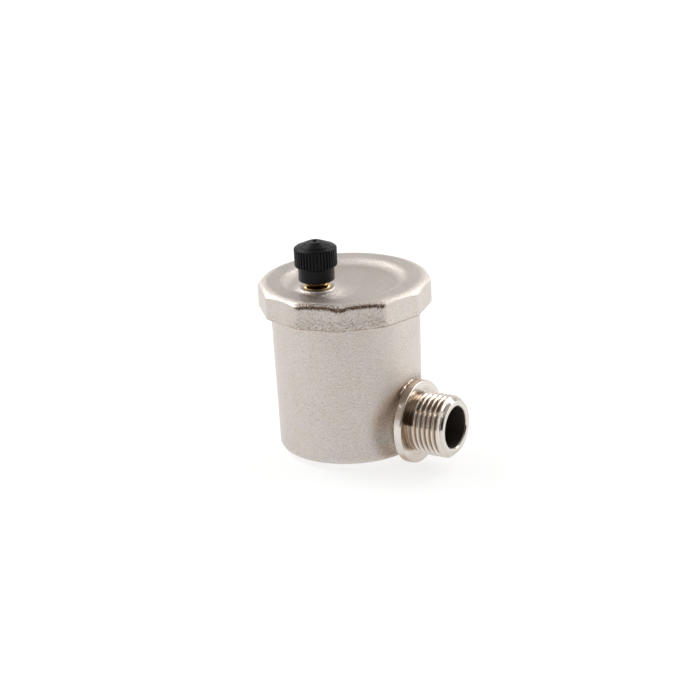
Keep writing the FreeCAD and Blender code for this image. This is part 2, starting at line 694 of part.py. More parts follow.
def headed_pin(label, frame, offset, radius, head_radius, head, shoulder, end):
    """A pin along Y with a head at its -Y end."""
    body = new_body(label, frame)
    section = new_sketch(body, "section", "XY", offset)
    outline(section, [(None, head), (head_radius, head), (head_radius, shoulder), (radius, shoulder),
                      (radius, end), (None, end)])
    turned(body, section)
    return body


def pin_clip(label, frame, offset, inner, outer, start, end):
    """A push-on retaining ring on the pin's free end."""
    body = new_body(label, frame)
    section = new_sketch(body, "section", "XY", offset)
    box_outline(section, inner, start, outer, end)
    turned(body, section)
    return body


def closing_spring():
    """A torsion spring: one leg follows the lever's underside, the other stands under the web."""
    coil = number("coil_radius")
    wire = number("wire_radius")
    swing = math.radians(number("lever_swing"))
    start_angle = 1.5 * math.pi + swing
    turns = number("spring_turns") + (2 * math.pi - start_angle) / (2 * math.pi)
    climb = number("spring_pitch")
    height = turns * climb
    helix = Part.makeHelix(climb, height, coil)
    helix.rotate(FreeCAD.Vector(0, 0, 0), FreeCAD.Vector(0, 0, 1), math.degrees(start_angle))
    coil_start = FreeCAD.Vector(coil * math.cos(start_angle), coil * math.sin(start_angle), 0)
    coil_end = FreeCAD.Vector(coil, 0, height)
    along_lever = FreeCAD.Vector(-math.cos(swing), -math.sin(swing), 0)
    lower_leg = Part.makeLine(coil_start + along_lever * number("spring_leg"), coil_start)
    upper_leg = Part.makeLine(coil_end, coil_end + FreeCAD.Vector(0, number("spring_stand"), 0))
    path = Part.Wire([lower_leg] + list(helix.Edges) + [upper_leg])
    ring = Part.Wire([Part.makeCircle(wire, lower_leg.Vertexes[0].Point, along_lever)])
    spring = doc.addObject("Part::Feature", "closing_spring")
    spring.Shape = path.makePipeShell([ring], True, True)
    spring.setExpression("Placement",
                         "placement(vector(places.pivot_x; places.pivot_y; places.pivot_height);"
                         " rotation(sizes.nozzle_bearing; 0; 90) )"
                         " * placement(vector(0; 0; places.spring_start); rotation(0; 0; 0))")
    doc.recompute()
    return spring


def lever():
    body = new_body("lever", LEVER_FRAME)
    arm = new_sketch(body, "arm", "XZ")
    box_outline(arm, "eye_x", "lever_bottom", None, "lever_top")
    padded(body, arm, cell("lever_width"), midplane=True)
    knuckle = new_sketch(body, "knuckle", "XZ")
    circle_in(knuckle, "knuckle_radius")
    padded(body, knuckle, cell("knuckle_width"), midplane=True)
    eye = new_sketch(body, "eye", "XZ")
    circle_in(eye, "eye_radius", "eye_x")
    padded(body, eye, cell("lever_width"), midplane=True)
    platform = new_sketch(body, "platform", "XZ")
    box_outline(platform, "platform_start", "lever_bottom", "platform_end", "lever_top")
    wide = padded(body, platform, cell("platform_width"), midplane=True)

    def is_platform_corner(edge):
        centre = edge.CenterOfMass
        return (abs(abs(centre.y) - number("platform_half_width")) < 1e-4
                and abs(edge.Length - number("lever_thickness")) < 1e-4)

    dressed(body, wide, "Fillet", "platform_corner", is_platform_corner)
    fork = new_sketch(body, "fork", "XY")
    box_outline(fork, "fork_start", "minus_fork_half_width", "fork_end", "fork_half_width")
    pocketed(body, fork, "2 * sizes.eye_radius + 2", midplane=True)
    stem = new_sketch(body, "stem_hole", "XY")
    circle_in(stem, "stem_hole_radius", "shutter_x")
    pocketed(body, stem, "2 * sizes.eye_radius + 2", midplane=True)
    pivot = new_sketch(body, "pivot_bore", "XZ")
    circle_in(pivot, "pivot_bore_radius")
    pocketed(body, pivot, midplane=True)
    link = new_sketch(body, "link_hole", "XZ")
    circle_in(link, "link_hole_radius", "eye_x")
    pocketed(body, link, midplane=True)
    return body


AT_SHUTTER = "placement(vector(places.shutter_x; 0; 0); rotation(0; 0; 0))"
AT_EYE = "placement(vector(places.eye_x; 0; 0); rotation(0; 0; 0))"


def shutter_holder():
    """A button riveted through the lever, with a cup for the rubber pad."""
    body = new_body("shutter_holder", LEVER_FRAME)
    section = new_sketch(body, "section", "XZ", AT_SHUTTER)
    outline(section, [(None, "rivet_bottom"), ("rivet_radius", "rivet_bottom"), ("rivet_radius", "rivet_top"),
                      ("holder_stem_radius", "rivet_top"), ("holder_stem_radius", "lever_top"),
                      ("holder_radius", "lever_top"), ("holder_radius", "holder_top"),
                      ("pad_recess_radius", "holder_top"), ("pad_recess_radius", "pad_bottom"),
                      (None, "pad_bottom")])
    turned(body, section)
    return body


def shutter_pad():
    body = new_body("shutter_pad", LEVER_FRAME)
    section = new_sketch(body, "section", "XZ", AT_SHUTTER)
    outline(section, [(None, "pad_bottom"), ("pad_radius", "pad_bottom"), ("pad_radius", "pad_top"),
                      (None, "pad_top")])
    turned(body, section)
    return body


def float_hanger():
    """A stamped tab: its eye turns on the link pin, its foot is pressed into the float's lid."""
    body = new_body("float_hanger", FLOAT_FRAME)
    tab = new_sketch(body, "tab", "XZ")
    box_outline(tab, "minus_hanger_half_width", "hanger_bottom", "hanger_half_width", None)
    padded(body, tab, cell("hanger_thickness"), midplane=True)
    head = new_sketch(body, "head", "XZ")
    circle_in(head, "hanger_half_width")
    padded(body, head, cell("hanger_thickness"), midplane=True)
    eye = new_sketch(body, "eye", "XZ")
    circle_in(eye, "link_bore_radius")
    pocketed(body, eye, midplane=True)
    return body


def float_lid():
    body = new_body("float_lid", FLOAT_FRAME)
    section = new_sketch(body, "section", "XZ")
    outline(section, [(None, "lid_bottom"), ("spigot_inner_radius", "lid_bottom"),
                      ("spigot_inner_radius", "lid_spigot_bottom"),
                      ("spigot_outer_radius", "lid_spigot_bottom"), ("spigot_outer_radius", "lid_bottom"),
                      ("float_radius", "lid_bottom"), ("float_radius", "lid_top"),
                      ("lid_boss_radius", "lid_top"), ("lid_boss_radius", "lid_boss_top"),
                      (None, "lid_boss_top")])
    turned(body, section)
    slot = new_sketch(body, "slot", "XZ")
    box_outline(slot, "minus_hanger_slot_half", "hanger_slot_bottom", "hanger_slot_half", "above_lid_boss")
    pocketed(body, slot, cell("hanger_slot_width"), midplane=True)
    return body


def float_shell():
    body = new_body("float_shell", FLOAT_FRAME)
    section = new_sketch(body, "section", "XZ")
    outline(section, [(None, "float_bottom"), ("float_radius", "float_bottom"),
                      ("float_radius", "lid_bottom"), ("shell_inner_radius", "lid_bottom"),
                      ("shell_inner_radius", "float_floor"), (None, "float_floor")])
    solid = turned(body, section)
    solid = dressed(body, solid, "Fillet", "float_corner",
                    lambda e: is_ring(e, number("float_bottom"), number("float_radius")))
    dressed(body, solid, "Fillet", "float_wall",
            lambda e: is_ring(e, number("float_floor"), number("shell_inner_radius")))
    return body


def cap_seal():
    body = new_body("cap_seal", NOZZLE_AXIS_FRAME)
    section = new_sketch(body, "section", "XZ")
    outline(section, [(None, "seal_bottom"), ("seal_radius", "seal_bottom"), ("seal_radius", "seal_top"),
                      (None, "seal_top")])
    turned(body, section)
    return body


def vent_cap():
    body = new_body("vent_cap", NOZZLE_AXIS_FRAME)
    section = new_sketch(body, "section", "XZ")
    outline(section, [("cap_mouth_radius", "cap_bottom"), ("cap_skirt_radius", "cap_bottom"),
                      ("cap_skirt_radius", "step_bottom"), ("knurl_radius", "knurl_bottom"),
                      ("knurl_radius", "knurl_top"), ("shoulder_radius", "shoulder_top"),
                      ("crown_radius", "crown_top"), ("dimple_radius", "crown_top"),
                      (None, "dimple_bottom"), (None, "seal_top"), ("cap_bore_radius", "seal_top"),
                      ("cap_bore_radius", "cap_mouth_top")])
    turned(body, section)
    groove = new_sketch(body, "knurl", "XY")
    outline(groove, [("knurl_root_radius", None), ("knurl_open_radius", "minus_knurl_half_opening"),
                     ("knurl_open_radius", "knurl_half_opening")])
    patterned(body, pocketed(body, groove, reverse=True), "knurl_count")
    return body


parts = [
    vent_body(),
    inlet_spigot(),
    cover(),
    ring_body("cover_gasket", "mouth_radius", "gasket_outer_radius", "rim_top", "ledge"),
    nozzle(),
    nozzle_ring(),
    lever_bracket(),
    ring_body("lock_washer", "shank_clear_radius", "washer_radius", "washer_under", "bracket_under",
              NOZZLE_AXIS_FRAME),
    bracket_nut(),
    headed_pin("pivot_pin", PIVOT_FRAME, None, "pivot_radius", "pin_head_radius", "minus_pin_head",
               "pin_shoulder", "pin_end"),
    pin_clip("pivot_clip", PIVOT_FRAME, None, "clip_bore_radius", "clip_radius", "clip_start", "clip_end"),
    closing_spring(),
    lever(),
    shutter_holder(),
    shutter_pad(),
    headed_pin("link_pin", LEVER_FRAME, AT_EYE, "link_pin_radius", "link_head_radius", "minus_link_head",
               "link_shoulder", "link_pin_end"),
    pin_clip("link_clip", LEVER_FRAME, AT_EYE, "link_hole_radius", "link_head_radius", "link_clip_start",
             "link_clip_end"),
    float_hanger(),
    float_lid(),
    float_shell(),
    cap_seal(),
    vent_cap(),
]

doc.recompute()
for thing in doc.Objects:
    if {"Invalid", "Error"} & set(thing.State):
        raise RuntimeError(f"{thing.Name} failed: {thing.State}")
for part in parts:
    if part.Shape.isNull() or not part.Shape.isValid() or not part.Shape.Solids:
        raise RuntimeError(f"{part.Label} is not a valid solid")

os.makedirs("parts", exist_ok=True)
for part in parts:
    part.Shape.exportStep(f"parts/{part.Label}.step")
    box = part.Shape.BoundBox
    print(f"{part.Label:16s} solids {len(part.Shape.Solids)} volume {part.Shape.Volume:9.2f}"
          f"  x {box.XMin:7.2f} {box.XMax:7.2f}  y {box.YMin:7.2f} {box.YMax:7.2f}"
          f"  z {box.ZMin:7.2f} {box.ZMax:7.2f}")
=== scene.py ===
import json
import math

import bpy
import numpy as np
from bpy.props import FloatProperty, FloatVectorProperty, IntProperty, PointerProperty
from mathutils import Matrix, Vector


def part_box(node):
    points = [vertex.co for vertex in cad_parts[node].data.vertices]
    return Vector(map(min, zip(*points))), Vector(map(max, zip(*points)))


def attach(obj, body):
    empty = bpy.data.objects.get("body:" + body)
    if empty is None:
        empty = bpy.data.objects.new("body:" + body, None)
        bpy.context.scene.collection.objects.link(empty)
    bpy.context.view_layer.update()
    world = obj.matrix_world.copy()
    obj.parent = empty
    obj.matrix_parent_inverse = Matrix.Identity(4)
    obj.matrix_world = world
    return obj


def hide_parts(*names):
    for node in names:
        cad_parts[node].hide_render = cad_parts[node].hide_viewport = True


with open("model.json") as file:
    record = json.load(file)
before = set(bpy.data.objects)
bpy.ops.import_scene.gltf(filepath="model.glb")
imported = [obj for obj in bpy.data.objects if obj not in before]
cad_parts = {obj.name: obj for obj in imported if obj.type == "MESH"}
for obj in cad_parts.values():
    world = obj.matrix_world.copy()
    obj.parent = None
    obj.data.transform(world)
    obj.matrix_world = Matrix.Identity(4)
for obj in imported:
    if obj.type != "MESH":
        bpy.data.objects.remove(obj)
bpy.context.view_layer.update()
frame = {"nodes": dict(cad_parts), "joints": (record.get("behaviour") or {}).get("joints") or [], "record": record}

bl_info = {
    "name": "Automatic Air Vent",
    "version": (1, 0, 0),
    "blender": (4, 5, 0),
    "location": "View3D > Sidebar > Air Vent",
    "description": "Dresses an air vent's frame with its casting, threads, knurled cap, finishes and studio",
    "category": "Object",
}

MM = 0.001
TURN = 2 * math.pi

# -------------------- places that the frame gives

MOUNTS = {mount["name"]: mount for mount in frame["record"]["mounts"]}
JOINTS = {joint["name"]: joint for joint in frame["joints"]}
SLOT_OF = {part["node"]: part["material_slot"] for part in frame["record"]["subparts"]}
CUP_LOW, CUP_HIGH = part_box("vent_body")
COVER_LOW, COVER_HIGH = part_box("cover")
SPIGOT_LOW, SPIGOT_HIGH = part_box("inlet_spigot")
NOZZLE_LOW, NOZZLE_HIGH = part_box("nozzle")
CAP_LOW, CAP_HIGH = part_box("vent_cap")

INLET_HEIGHT = MOUNTS["inlet_thread"]["pos_m"][2]
THREAD_RADIUS = MOUNTS["inlet_thread"]["dims"]["r_mm"] * MM
THREAD_LENGTH = MOUNTS["inlet_thread"]["dims"]["length_mm"] * MM
THREAD_START = MOUNTS["inlet_thread"]["pos_m"][0] - THREAD_LENGTH / 2
THREAD_END = THREAD_START + THREAD_LENGTH
BORE_RADIUS = MOUNTS["inlet_bore"]["dims"]["r_mm"] * MM
FLANGE_FRONT = MOUNTS["flange_face"]["pos_m"][0]
FLANGE_RADIUS = INLET_HEIGHT - SPIGOT_LOW.z
FLANGE_BACK, INLET_END = SPIGOT_LOW.x, SPIGOT_HIGH.x
RIM_RADIUS = -CUP_LOW.x
RIM_TOP = CUP_HIGH.z
COVER_FLAT = MOUNTS["cover_flats"]["dims"]["r_mm"] * MM
COVER_BOTTOM, BOSS_TOP = COVER_LOW.z, COVER_HIGH.z
NOZZLE = Vector(JOINTS["cap_turn"]["pos_m"])
NOZZLE_BEARING = math.atan2(NOZZLE.y, NOZZLE.x)
SEAT, NOZZLE_TIP = NOZZLE_LOW.z, NOZZLE_HIGH.z
CAP_BOTTOM, CAP_TOP = CAP_LOW.z, CAP_HIGH.z
KNURL_RADIUS = CAP_HIGH.x - NOZZLE.x

# -------------------- shapes that the frame leaves open

BASE_RADIUS, BASE_ROUND = 23.9 * MM, 2.2 * MM
SHOULDER, RIM_NECK = 48.4 * MM, 24.0 * MM
NECK_RADIUS, NECK_FLARE, NECK_REACH, NECK_LIFT = 11.6 * MM, 9.0 * MM, 5.5 * MM, 0.4 * MM
RELIEF_RADIUS, RUN_OUT = 9.3 * MM, FLANGE_FRONT + 1.1 * MM
PASSAGE_RADIUS, CHAMBER_FLOOR, MOUTH_RADIUS = 6.5 * MM, 3.0 * MM, 21.4 * MM
COVER_TOP, DISH_FLOOR, SKIRT_STEP, ROOF_UNDER = 57.7 * MM, 56.1 * MM, 54.3 * MM, 53.1 * MM
COVER_HEM, FLAT_START = 1.6 * MM, COVER_BOTTOM + 1.2 * MM
DOME_ROUND, DOME_WIDTH = 4.8 * MM, 3.7 * MM
DISH_OUTER, DISH_INNER = 21.0 * MM, 18.0 * MM
BOSS_RADIUS, BOSS_FOOT, BOSS_STEP = 5.75 * MM, 11.2 * MM, 0.18 * MM
COVER_BEARING, FLATS = math.radians(12.8), 12
ROUGH_BEARING = COVER_BEARING + 9.5 * TURN / FLATS
SHANK_RADIUS, COLLAR_RADIUS, WAIST_RADIUS, NOZZLE_RADIUS = 3.5 * MM, 4.65 * MM, 3.65 * MM, 3.98 * MM
ORIFICE_RADIUS, SEAT_RADIUS, NOZZLE_BORE = 0.6 * MM, 1.9 * MM, 1.5 * MM
COLLAR_TOP = BOSS_TOP + 1.4 * MM
SKIRT_RADIUS, KNURL_BOTTOM, KNURL_TOP = 6.0 * MM, CAP_BOTTOM + 5.1 * MM, CAP_TOP - 2.25 * MM
CAP_SLOPE_END, CAP_DIMPLE = CAP_TOP - 0.42 * MM, CAP_TOP - 0.45 * MM

WHITE = (1.0, 1.0, 1.0)
FLOOR_HALF, FLOOR_GLOW, FLOOR_GAP = 4.0, 0.77, 0.05 * MM
LAMP_WIDTH, LAMP_HEIGHT, LAMP_DISTANCE = 0.46, 0.36, 0.7


# -------------------- what a user can change

def length(name, description, default):
    """A length in metres, shown in the scene's unit."""
    return FloatProperty(name=name, description=description, default=default, unit="LENGTH", precision=5)


def turned_by(name, description, degrees):
    """An angle, given in degrees."""
    return FloatProperty(name=name, description=description, default=math.radians(degrees), subtype="ANGLE")


def brightness(name, description, default):
    """A brightness of 0 or more."""
    return FloatProperty(name=name, description=description, default=default, min=0)


def base_colour(name, description, default):
    """A colour of red, green and blue."""
    return FloatVectorProperty(name=name, description=description, default=default, subtype="COLOR",
                               size=3, min=0, max=1)


class VentSizes(bpy.types.PropertyGroup):
    """Sizes of the fine work on the vent"""
    pitch: length("Inlet pitch", "Advance of the inlet thread in one turn", 1.814 * MM)
    depth: length("Inlet thread depth", "From the inlet thread's root to its crest", 1.162 * MM)
    nozzle_pitch: length("Nozzle pitch", "Advance of the cap in one turn", 1.0 * MM)
    nozzle_depth: length("Nozzle thread depth", "From the nozzle thread's root to its crest", 0.55 * MM)
    ridge: length("Cover edge", "Rounding where the cover's flats meet its domed edge", 0.45 * MM)
    corner: length("Cover corner", "Width over which two flats blend", 0.5 * MM)
    flash: length("Forging flash", "Unevenness of the cover's edge", 0.3 * MM)
    bead: length("Braze bead", "Thickness of the braze behind the flange", 0.8 * MM)
    ribs: IntProperty(name="Cap ribs", description="Ribs round the cap's grip", default=40, min=12, max=90)
    rib_depth: length("Rib depth", "Depth of the gaps between the ribs", 0.5 * MM)


class VentFinishes(bpy.types.PropertyGroup):
    """Base colours of the finishes"""
    blasted: base_colour("Blasted nickel", "Nickel plate over blasted brass", (0.645, 0.592, 0.548))
    machined: base_colour("Machined nickel", "Nickel plate over turned brass", (0.71, 0.665, 0.61))
    # This brown is tarnish, and it also colours painted shade along the cover's lower edge, along the forging
    # flash, in the inlet's thread roots and hollows, and on the flange's rim.
    tarnish_and_shade: base_colour("Tarnish", "Brown film where the plating is thin", (0.33, 0.22, 0.14))
    # Painted shade: the bore's dark colour stands for the shade deep in the bore.
    bore: base_colour("Bore", "The inlet's dark bore", (0.2, 0.165, 0.15))
    brass: base_colour("Brass", "Turned brass", (0.82, 0.60, 0.29))
    # Painted shade: the cap's shadow on the nozzle's collar and in the gap under the cap.
    stain_and_painted_shade: base_colour("Brass stain", "Stain in the gap under the cap", (0.22, 0.11, 0.05))
    steel: base_colour("Stainless", "Stainless sheet and wire", (0.56, 0.55, 0.54))
    cap: base_colour("Cap plastic", "Black moulded plastic", (0.003, 0.003, 0.0035))
    rubber: base_colour("Rubber", "Seals and rings", (0.016, 0.016, 0.016))
    float_plastic: base_colour("Float plastic", "Natural moulded plastic", (0.72, 0.69, 0.60))


class VentStudio(bpy.types.PropertyGroup):
    """The camera, the floor and the light"""
    azimuth: turned_by("Azimuth", "The camera's bearing round the vent", 31.86)
    elevation: turned_by("Elevation", "The camera's height over the vent", 20.15)
    roll: turned_by("Roll", "The camera's tilt about its line of sight", -2.81)
    distance: length("Distance", "From the camera to the cup's base", 1.101)
    aside: length("Aside", "How far right of the cup's base the camera aims", -0.649 * MM)
    above: length("Above", "How far over the cup's base the camera aims", 30.12 * MM)
    lens: FloatProperty(name="Lens", description="Focal length in millimetres", default=167.6)
    boxes: brightness("Soft boxes", "Brightness of the soft boxes, where 1 is white", 3.0)
    box_bearing: turned_by("Box bearing", "How far round each soft box stands from straight behind", 52)
    box_elevation: turned_by("Box elevation", "How high the soft boxes stand", 43)
    panel: brightness("Side panels", "Brightness of the side panels, where 1 is white", 2.0)
    panel_bearing: turned_by("Panel bearing", "How far round each panel stands from straight behind", 82)
    panel_elevation: turned_by("Panel elevation", "How high the right panel stands", 14)
    left_elevation: turned_by("Left panel elevation", "How high the left panel stands", 58.05)


# -------------------- meshes

def new_piece(name, points, faces, marks=None):
    """A smooth-shaded piece of these faces, without the points that no face uses. Marks are named
    values, one for each point."""
    used = sorted({corner for face in faces for corner in face})
    order = {old: new for new, old in enumerate(used)}
    mesh = bpy.data.meshes.new(name)
    mesh.from_pydata([points[i] for i in used], [], [[order[i] for i in face] for face in faces])
    mesh.polygons.foreach_set("use_smooth", [True] * len(mesh.polygons))
    mesh.set_sharp_from_angle(angle=math.radians(42))
    for mark, values in (marks or {}).items():
        mesh.attributes.new(mark, "FLOAT", "POINT").data.foreach_set("value", [values[i] for i in used])
    piece = bpy.data.objects.new(name, mesh)
    bpy.context.scene.collection.objects.link(piece)
    return piece


def surface(name, rows, start=None, end=None, open_where=None, marks=None):
    """A smooth surface through closed rows of points, with a fan to a point where it closes. It has no
    faces whose corners all lie where it is open."""
    count, columns = rows.shape[:2]
    index = np.arange(count * columns).reshape(count, columns)
    here, beyond = index[:-1], index[1:]
    quads = np.stack([here, np.roll(here, -1, 1), np.roll(beyond, -1, 1), beyond], -1)
    faces = quads.reshape(-1, 4)
    if open_where is not None:
        faces = faces[~open_where.reshape(-1)[faces].all(1)]
    faces = faces.tolist()
    points = rows.reshape(-1, 3).tolist()
    marks = {mark: values.reshape(-1).tolist() for mark, values in (marks or {}).items()}
    for tip, ring, turned_over in ((start, index[0], True), (end, index[-1], False)):
        if tip is not None:
            points.append(list(tip))
            for values in marks.values():
                values.append(0.0)
            after = np.roll(ring, -1)
            pairs = zip(after, ring) if turned_over else zip(ring, after)
            faces += [[len(points) - 1, int(a), int(b)] for a, b in pairs]
    return new_piece(name, points, faces, marks)


def profile(corners, steps=5):
    """Points along an outline of (radius, height, rounding) corners, with a short curve at each rounding."""
    ends = [np.array(corner[:2]) for corner in corners]
    points = [ends[0]]
    for before, at, after, rounding in zip(ends, ends[1:], ends[2:], [c[2] for c in corners[1:-1]]):
        come, go = at - before, after - at
        come, go = come / np.linalg.norm(come), go / np.linalg.norm(go)
        bend = math.acos(max(-1.0, min(1.0, float(come @ go))))
        reach = rounding * math.tan(bend / 2)
        if reach == 0:
            points.append(at)
            continue
        first, last = at - come * reach, at + go * reach
        points.append(first - come * reach * 0.4)
        for t in np.linspace(0, 1, steps + 1):
            points.append(first * (1 - t) ** 2 + at * 2 * t * (1 - t) + last * t ** 2)
        points.append(last + go * reach * 0.4)
    points.append(ends[-1])
    return np.array(points)


def divided(outline, wanted, step):
    """The same outline with its long runs divided between the first and the last of the wanted points,
    so that it can follow a thread or a rib."""
    first, last = np.flatnonzero(wanted)[[0, -1]]
    run = [outline[first]]
    for a, b in zip(outline[first:last], outline[first + 1:last + 1]):
        pieces = max(1, math.ceil(float(np.linalg.norm(b - a)) / step))
        run += [a + (b - a) * i / pieces for i in range(1, pieces + 1)]
    return np.concatenate([outline[:first], run, outline[last + 1:]])


def smooth_max(a, b, width):
    """The greater of two values, with a fillet where they meet."""
    blend = np.clip(width - np.abs(a - b), 0, None) / width
    return np.maximum(a, b) + blend ** 2 * width / 4


def thread_valley(along, angle, pitch):
    """How deep a right-hand thread's flank lies, from 0 on the crest to 1 in the root."""
    climb = np.abs(2 * ((along / pitch - angle / TURN) % 1.0) - 1)
    straight = np.clip((climb - 0.12) / 0.76, 0, 1)
    return 0.7 * straight + 0.15 * (1 - np.cos(np.pi * climb))


def turned_about(centre, radius, height, angle):
    """Points of a turned shape about an upright axis."""
    return np.stack([centre.x + radius * np.cos(angle), centre.y + radius * np.sin(angle),
                     height + 0 * angle], -1)


def turned_on_inlet(radius, along, angle):
    """Points of a turned shape about the inlet's axis."""
    return np.stack([along + 0 * angle, radius * np.cos(angle), INLET_HEIGHT + radius * np.sin(angle)], -1)


def wear(piece, material, body, node):
    """Gives a piece its material and its body, and hides the node that it stands for."""
    piece.data.materials.append(material)
    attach(piece, body)
    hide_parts(node)


# -------------------- the cup

def neck_reach(bearing, height):
    """How far from the cup's axis the inlet's flared neck reaches, on each bearing and height."""
    reach = np.linspace(15, 29, 281) * MM
    x = reach * np.cos(bearing)[..., None]
    off = np.hypot(reach * np.sin(bearing)[..., None], (height - INLET_HEIGHT)[..., None])
    flare = np.sqrt(NECK_FLARE ** 2 - np.clip(FLANGE_BACK - x, 0, NECK_REACH) ** 2)
    outside = np.maximum(off - (NECK_RADIUS + NECK_FLARE - flare), x - FLANGE_BACK)
    crossing = (outside[..., :-1] < 0) & (outside[..., 1:] >= 0)
    last = outside.shape[-1] - 2 - np.argmax(crossing[..., ::-1], -1)
    inner = np.take_along_axis(outside, last[..., None], -1)[..., 0]
    outer = np.take_along_axis(outside, last[..., None] + 1, -1)[..., 0]
    found = reach[last] + (reach[1] - reach[0]) * inner / np.where(crossing.any(-1), inner - outer, 1)
    return np.where(crossing.any(-1) & (np.cos(bearing) > 0), found, 0)


def cup_bearings():
    """Bearings round the cup, close together over the inlet's neck."""
    near = np.arange(-42, 42, 0.6)
    return np.radians(np.concatenate([near, np.arange(42, 318, 2.4)]))


def cup_rows(bearing):
    """The cup's outside, from its base up over the rim to its mouth."""
    turn = np.linspace(0, math.pi / 2, 9)
    base = np.stack([BASE_ROUND * (1 - np.sin(turn)), BASE_ROUND * (1 - np.cos(turn))], -1)
    wall = np.concatenate([np.arange(2.4, 27, 0.4), np.arange(27, 48, 2.0), [47.9, 48.15]]) * MM
    inset = np.concatenate([base[:, 0], 0 * wall])
    height = np.concatenate([base[:, 1], wall])
    taper = (RIM_RADIUS - BASE_RADIUS) / (SHOULDER - BASE_ROUND)
    plain = BASE_RADIUS + taper * (height - BASE_ROUND)
    plain[:len(turn)] = BASE_RADIUS
    h, b = np.meshgrid(height, bearing, indexing="ij")
    neck = neck_reach(b, np.maximum(h, NECK_LIFT))
    reach = smooth_max(plain[:, None] + 0 * b, neck, 1.4 * MM) - inset[:, None]
    rows = [turned_about(Vector(), reach[i], height[i], bearing) for i in range(len(height))]
    rim = profile([
        (RIM_RADIUS, SHOULDER - 0.2 * MM, 0), (RIM_RADIUS, SHOULDER, 0.2 * MM),
        (RIM_NECK, SHOULDER, 0.1 * MM), (RIM_NECK, RIM_TOP, 0.5 * MM), (MOUTH_RADIUS, RIM_TOP, 0)])
    rows += [turned_about(Vector(), r, z, bearing) for r, z in rim[1:]]
    return np.array(rows)


def inner_faces():
    """The chamber, its passage and the neck's end, taken from the cup's solid, as points and faces."""
    solid = frame["nodes"]["vent_body"].data
    places = np.empty(len(solid.vertices) * 3, np.float32)
    solid.vertices.foreach_get("co", places)
    places = places.reshape(-1, 3)
    slack = 0.06 * MM
    x, y, z = places.T
    off = np.hypot(y, z - INLET_HEIGHT)
    regions = ((np.hypot(x, y) < MOUTH_RADIUS + slack) & (z > CHAMBER_FLOOR - slack),
               (off < PASSAGE_RADIUS + slack) & (x > 0),
               (off < NECK_RADIUS + slack) & (x > FLANGE_BACK - slack))
    faces = [tuple(p.vertices) for p in solid.polygons
             if any(region[list(p.vertices)].all() for region in regions)]
    return places.tolist(), faces


def make_cup(material):
    """The cast cup, open where the neck ends, and its chamber."""
    rows = cup_rows(cup_bearings())
    off = np.hypot(rows[..., 1], rows[..., 2] - INLET_HEIGHT)
    neck_end = (rows[..., 0] > FLANGE_BACK - 0.1 * MM) & (off < NECK_RADIUS)
    cup = surface("cast_cup", rows, start=(0, 0, 0), open_where=neck_end)
    chamber = new_piece("cup_chamber", *inner_faces())
    for piece in (cup, chamber):
        wear(piece, material, "valve", "vent_body")


def make_inlet(material, sizes):
    """The flange and the spigot, from the bore's inner end out over the thread and back."""
    angle = np.linspace(0, TURN, 240, endpoint=False)
    face = THREAD_RADIUS - (INLET_END - THREAD_END)
    outline = profile([
        (BORE_RADIUS, FLANGE_BACK, 0), (FLANGE_RADIUS, FLANGE_BACK, 0.35 * MM),
        (FLANGE_RADIUS, FLANGE_FRONT, 0.4 * MM), (RELIEF_RADIUS, FLANGE_FRONT, 0.35 * MM),
        (RELIEF_RADIUS, RUN_OUT, 0.2 * MM), (THREAD_RADIUS - 0.25 * MM, RUN_OUT + 0.8 * MM, 0.3 * MM),
        (THREAD_RADIUS, THREAD_START, 0), (THREAD_RADIUS, THREAD_END, 0.3 * MM),
        (face, INLET_END, 0.25 * MM), (BORE_RADIUS + 0.5 * MM, INLET_END, 0.15 * MM),
        (BORE_RADIUS, INLET_END - 0.5 * MM, 0.2 * MM), (BORE_RADIUS, FLANGE_BACK, 0)])
    turns = (outline[:, 1] > RUN_OUT - 0.1 * MM) & (outline[:, 0] > face)
    rows = []
    for radius, along in divided(outline, turns, 0.06 * MM):
        if along > RUN_OUT - 0.1 * MM and radius > face - 0.3 * MM:
            valley = THREAD_RADIUS - sizes.depth * thread_valley(along + sizes.pitch / 2, angle, sizes.pitch)
            radius = np.minimum(radius, valley)
        rows.append(turned_on_inlet(radius + 0 * angle, along, angle))
    piece = surface("threaded_spigot", np.array(rows))
    wear(piece, material, "valve", "inlet_spigot")


def make_bead(material, sizes):
    """A lumpy bead of braze behind the flange's upper edge."""
    along = np.linspace(math.radians(84), math.radians(124), 90)
    around = np.linspace(0, TURN, 14, endpoint=False)
    lumps = 0.72 + 0.28 * np.sin(along * 19 + 1) * np.sin(along * 11)
    ends = np.sin(np.pi * np.linspace(0, 1, len(along))) ** 0.4
    thick = sizes.bead * lumps * ends + 0.02 * MM
    radius, place = FLANGE_RADIUS + 0.1 * MM, FLANGE_BACK - 0.6 * sizes.bead
    rows = [turned_on_inlet(radius + t * np.cos(around), place + t * np.sin(around), a)
            for a, t in zip(along, thick)]
    first, last = (tuple(turned_on_inlet(radius, place, a)) for a in along[[0, -1]])
    piece = surface("braze_bead", np.array(rows), start=first, end=last)
    wear(piece, material, "valve", "inlet_spigot")


# -------------------- the cover

def cover_bearings():
    """Bearings round the cover, close together at its corners and over the nozzle's boss."""
    corners = COVER_BEARING + (np.arange(FLATS) + 0.5) * TURN / FLATS
    wanted = [np.radians(np.arange(0, 360, 1.2))]
    wanted += [corner + np.radians(np.arange(-3, 3.1, 0.4)) for corner in corners]
    wanted.append(NOZZLE_BEARING + np.radians(np.arange(-40, 40, 0.6)))
    wanted.append(ROUGH_BEARING + np.radians(np.arange(-38, 38, 0.4)))
    bearing = np.sort(np.concatenate(wanted) % TURN)
    kept = [bearing[0]]
    for b in bearing[1:]:
        if b - kept[-1] > math.radians(0.28):
            kept.append(b)
    return np.array(kept)


def flat_reach(bearing, corner):
    """How far the flats stand from the cover's axis, with their corners blended."""
    flats = COVER_BEARING + np.arange(FLATS) * TURN / FLATS
    away = np.sort(np.cos(bearing[:, None] - flats), 1)[:, ::-1]
    return COVER_FLAT / smooth_max(away[:, 0], away[:, 1], corner / COVER_FLAT)


